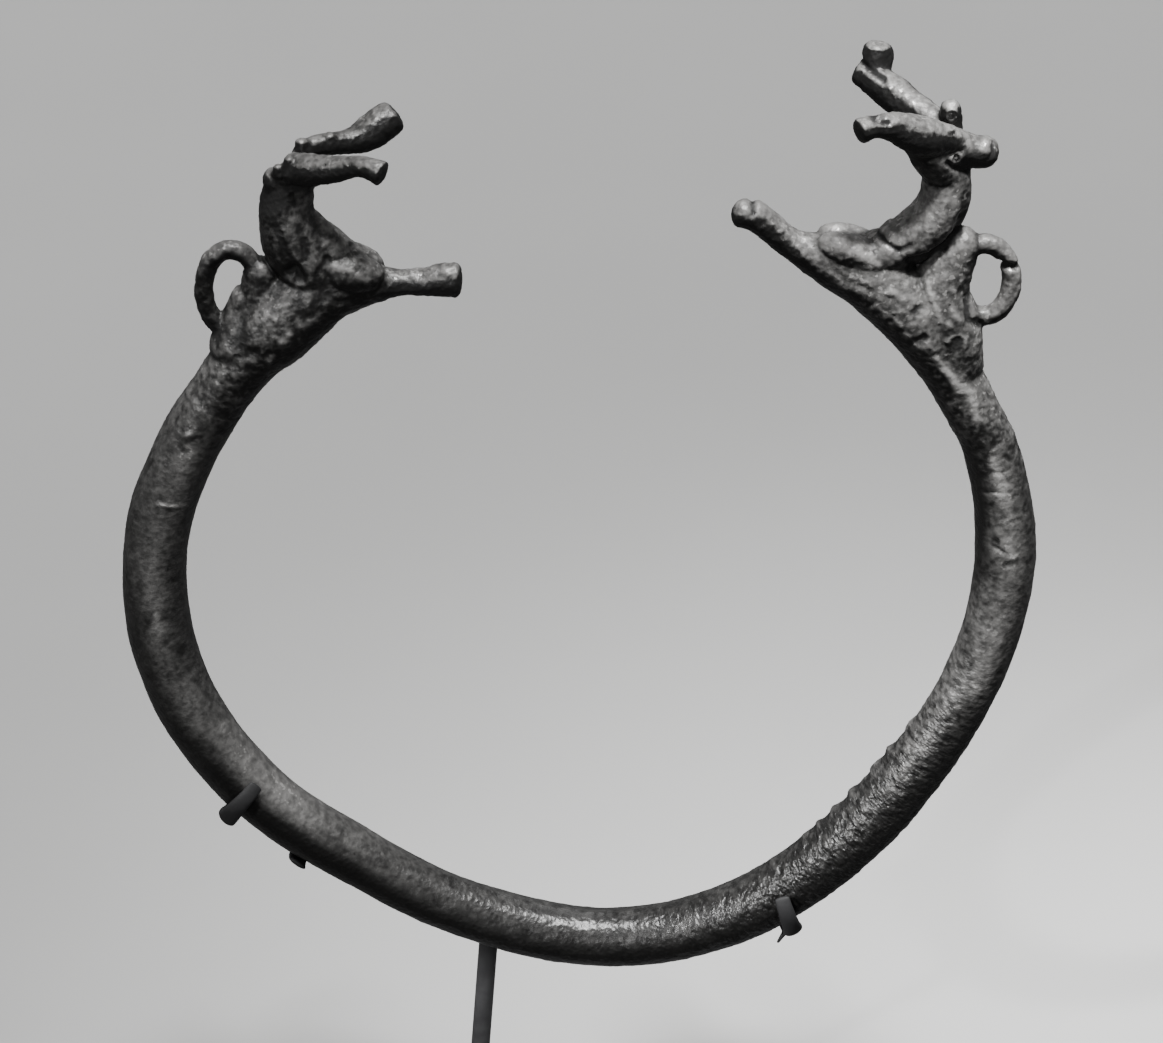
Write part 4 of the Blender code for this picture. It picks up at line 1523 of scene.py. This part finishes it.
class LampKind(Enum):
    """The kind of a lamp."""

    SUN = "SUN"
    SPOT = "SPOT"


@dataclass(frozen=True)
class Lamp:
    """A lamp that looks at a place, in metres.

    Its azimuth is 0 in front and 90 on the right. Softness is its own width and beam is how wide a spot
    opens, in degrees.
    """

    kind: LampKind
    azimuth: float
    elevation: float
    power: float
    softness: float
    target: tuple[float, float, float] = (0.0, 0.0, 0.07)
    beam: float = 0.0
    distance: float = 0.8

    def light(self) -> bpy.types.Light:
        """Makes the lamp's light.

        Returns:
            The light.
        """
        light = bpy.data.lights.new("soft_lamp", self.kind.value)
        light.energy = self.power
        if self.kind is LampKind.SUN:
            light.angle = math.radians(self.softness)
        else:
            light.shadow_soft_size = self.distance * math.tan(math.radians(self.softness) / 2)
            light.spot_size = math.radians(self.beam)
            light.spot_blend = 1.0
        return light


@dataclass(frozen=True)
class Studio:
    """The pale floor, the soft lamps and the camera. The floor's paler clouds are its tone times clouding."""

    lamps: tuple[Lamp, ...] = (
        Lamp(LampKind.SUN, 24.0, 83.0, 2.7, 6.0),
        Lamp(LampKind.SUN, -14.0, 30.0, 0.7, 24.0),
        Lamp(LampKind.SUN, 165.0, 38.0, 0.4, 24.0),
        Lamp(LampKind.SPOT, 60.0, 82.0, 55.0, 6.0, (0.05, 0.0, 0.09), 12.0),
        Lamp(LampKind.SPOT, -53.0, 32.0, 66.0, 4.0, (0.025, 0.0, 0.047), 4.2),
    )
    floor_tone: Colour = (0.50, 0.50, 0.496)
    floor_clouding: float = 1.02
    floor_size: float = 40.0
    horizon_tone: Colour = (0.42, 0.42, 0.42)
    zenith_tone: Colour = (0.10, 0.10, 0.10)
    below_tone: Colour = (0.10, 0.10, 0.10)
    front_strength: float = 0.35
    elevation: float = 38.0
    frame_width: float = 1163.0
    frame_height: float = 1043.0
    focal_pixels: float = 6144.0
    camera_distance: float = 0.4835
    aim_pixel: tuple[float, float] = (580.0, 555.0)
    sensor: float = 36.0

    def floor(self) -> None:
        """Makes the floor. It throws no light up, so that the undersides stay as dark as they are."""
        half = self.floor_size / 2
        mesh = bpy.data.meshes.new("floor")
        mesh.from_pydata([(-half, -half, 0), (half, -half, 0), (half, half, 0), (-half, half, 0)], [],
                         [(0, 1, 2, 3)])
        material, weaver, shader = fresh_material("pale_floor")
        where = weaver.add("ShaderNodeTexCoord").outputs["Object"]
        paler = [self.floor_clouding * value for value in self.floor_tone]
        cloud = weaver.cloud(where, 40.0, 3.0, 5.0, 0.0, 1.0)
        weaver.feed(shader, {"Base Color": weaver.blend(cloud, self.floor_tone, paler), "Roughness": 0.9,
                             "Specular IOR Level": 0.2})
        mesh.materials.append(material)
        floor = shown(bpy.data.objects.new("floor", mesh))
        floor.visible_diffuse = floor.visible_glossy = False

    def lights(self) -> None:
        """Makes the lamps and turns each to its place."""
        for number, lamp in enumerate(self.lamps, 1):
            turn, lift = math.radians(lamp.azimuth), math.radians(lamp.elevation)
            away = Vector((math.sin(turn) * math.cos(lift), -math.cos(turn) * math.cos(lift), math.sin(lift)))
            obj = shown(bpy.data.objects.new(f"soft_lamp_{number}", lamp.light()))
            obj.location = Vector(lamp.target) + away * lamp.distance
            obj.rotation_euler = away.to_track_quat("Z", "Y").to_euler()

    def surroundings(self) -> None:
        """Makes the sky: pale near the horizon, dark below it, and dimmer in front, except to the camera."""
        world = bpy.data.worlds.new("pale_surroundings")
        world.use_nodes = True
        bpy.context.scene.world = world
        weaver = Weaver(world.node_tree)
        direction = weaver.add("ShaderNodeTexCoord").outputs["Generated"]
        _, side, height = weaver.add("ShaderNodeSeparateXYZ", {0: direction}).outputs
        low = weaver.blend(weaver.remap(height, -0.3, -0.03, 0.0, 1.0), self.below_tone, self.horizon_tone)
        high = weaver.blend(weaver.remap(height, 0.1, 0.3, 0.0, 1.0), self.horizon_tone, self.zenith_tone)
        dim = weaver.remap(side, -0.9, 0.0, self.front_strength, 1.0)
        seen = weaver.add("ShaderNodeLightPath").outputs["Is Camera Ray"]
        weaver.feed(world.node_tree.nodes["Background"], {
            "Color": weaver.blend(weaver.maths("GREATER_THAN", height, 0.0), low, high),
            "Strength": weaver.maths("MAXIMUM", dim, seen)})

    def camera(self, ring_middle: Vector) -> None:
        """Makes the camera at the photograph's angle.

        Args:
            ring_middle: the middle of the ring, in metres.
        """
        lift = math.radians(self.elevation)
        forward = Vector((0.0, math.cos(lift), -math.sin(lift)))
        up = Vector((0.0, math.sin(lift), math.cos(lift)))
        shift_x = (self.aim_pixel[0] - self.frame_width / 2) / self.focal_pixels
        shift_z = (self.frame_height / 2 - self.aim_pixel[1]) / self.focal_pixels
        data = bpy.data.cameras.new("camera")
        data.sensor_width = self.sensor
        data.lens = self.focal_pixels / self.frame_width * self.sensor
        data.clip_start, data.clip_end = 0.02, 50.0
        obj = shown(bpy.data.objects.new("camera", data))
        ray = forward + Vector((shift_x, 0.0, 0.0)) + up * shift_z
        obj.location = ring_middle - ray * self.camera_distance
        obj.rotation_euler = (math.pi / 2 - lift, 0.0, 0.0)
        bpy.context.scene.camera = obj


def main() -> None:
    """Builds every piece, the floor, the light and the camera, and notes the sizes."""
    logging.basicConfig(level=logging.INFO, format="%(name)s: %(message)s")
    sweeper, stand = SweepTree(), Stand()
    bracelet, cradle = Bracelet(), Cradle()
    place = METRES @ stand.ring_place(bracelet.band)
    for piece in (bracelet.build(place, sweeper), cradle.build(stand, sweeper), stand.build(cradle)):
        LOG.info("%s has %d faces", piece.name, len(piece.data.polygons))

    studio = Studio()
    studio.floor()
    studio.lights()
    studio.surroundings()
    studio.camera(place.translation)


if __name__ == "__main__":
    main()
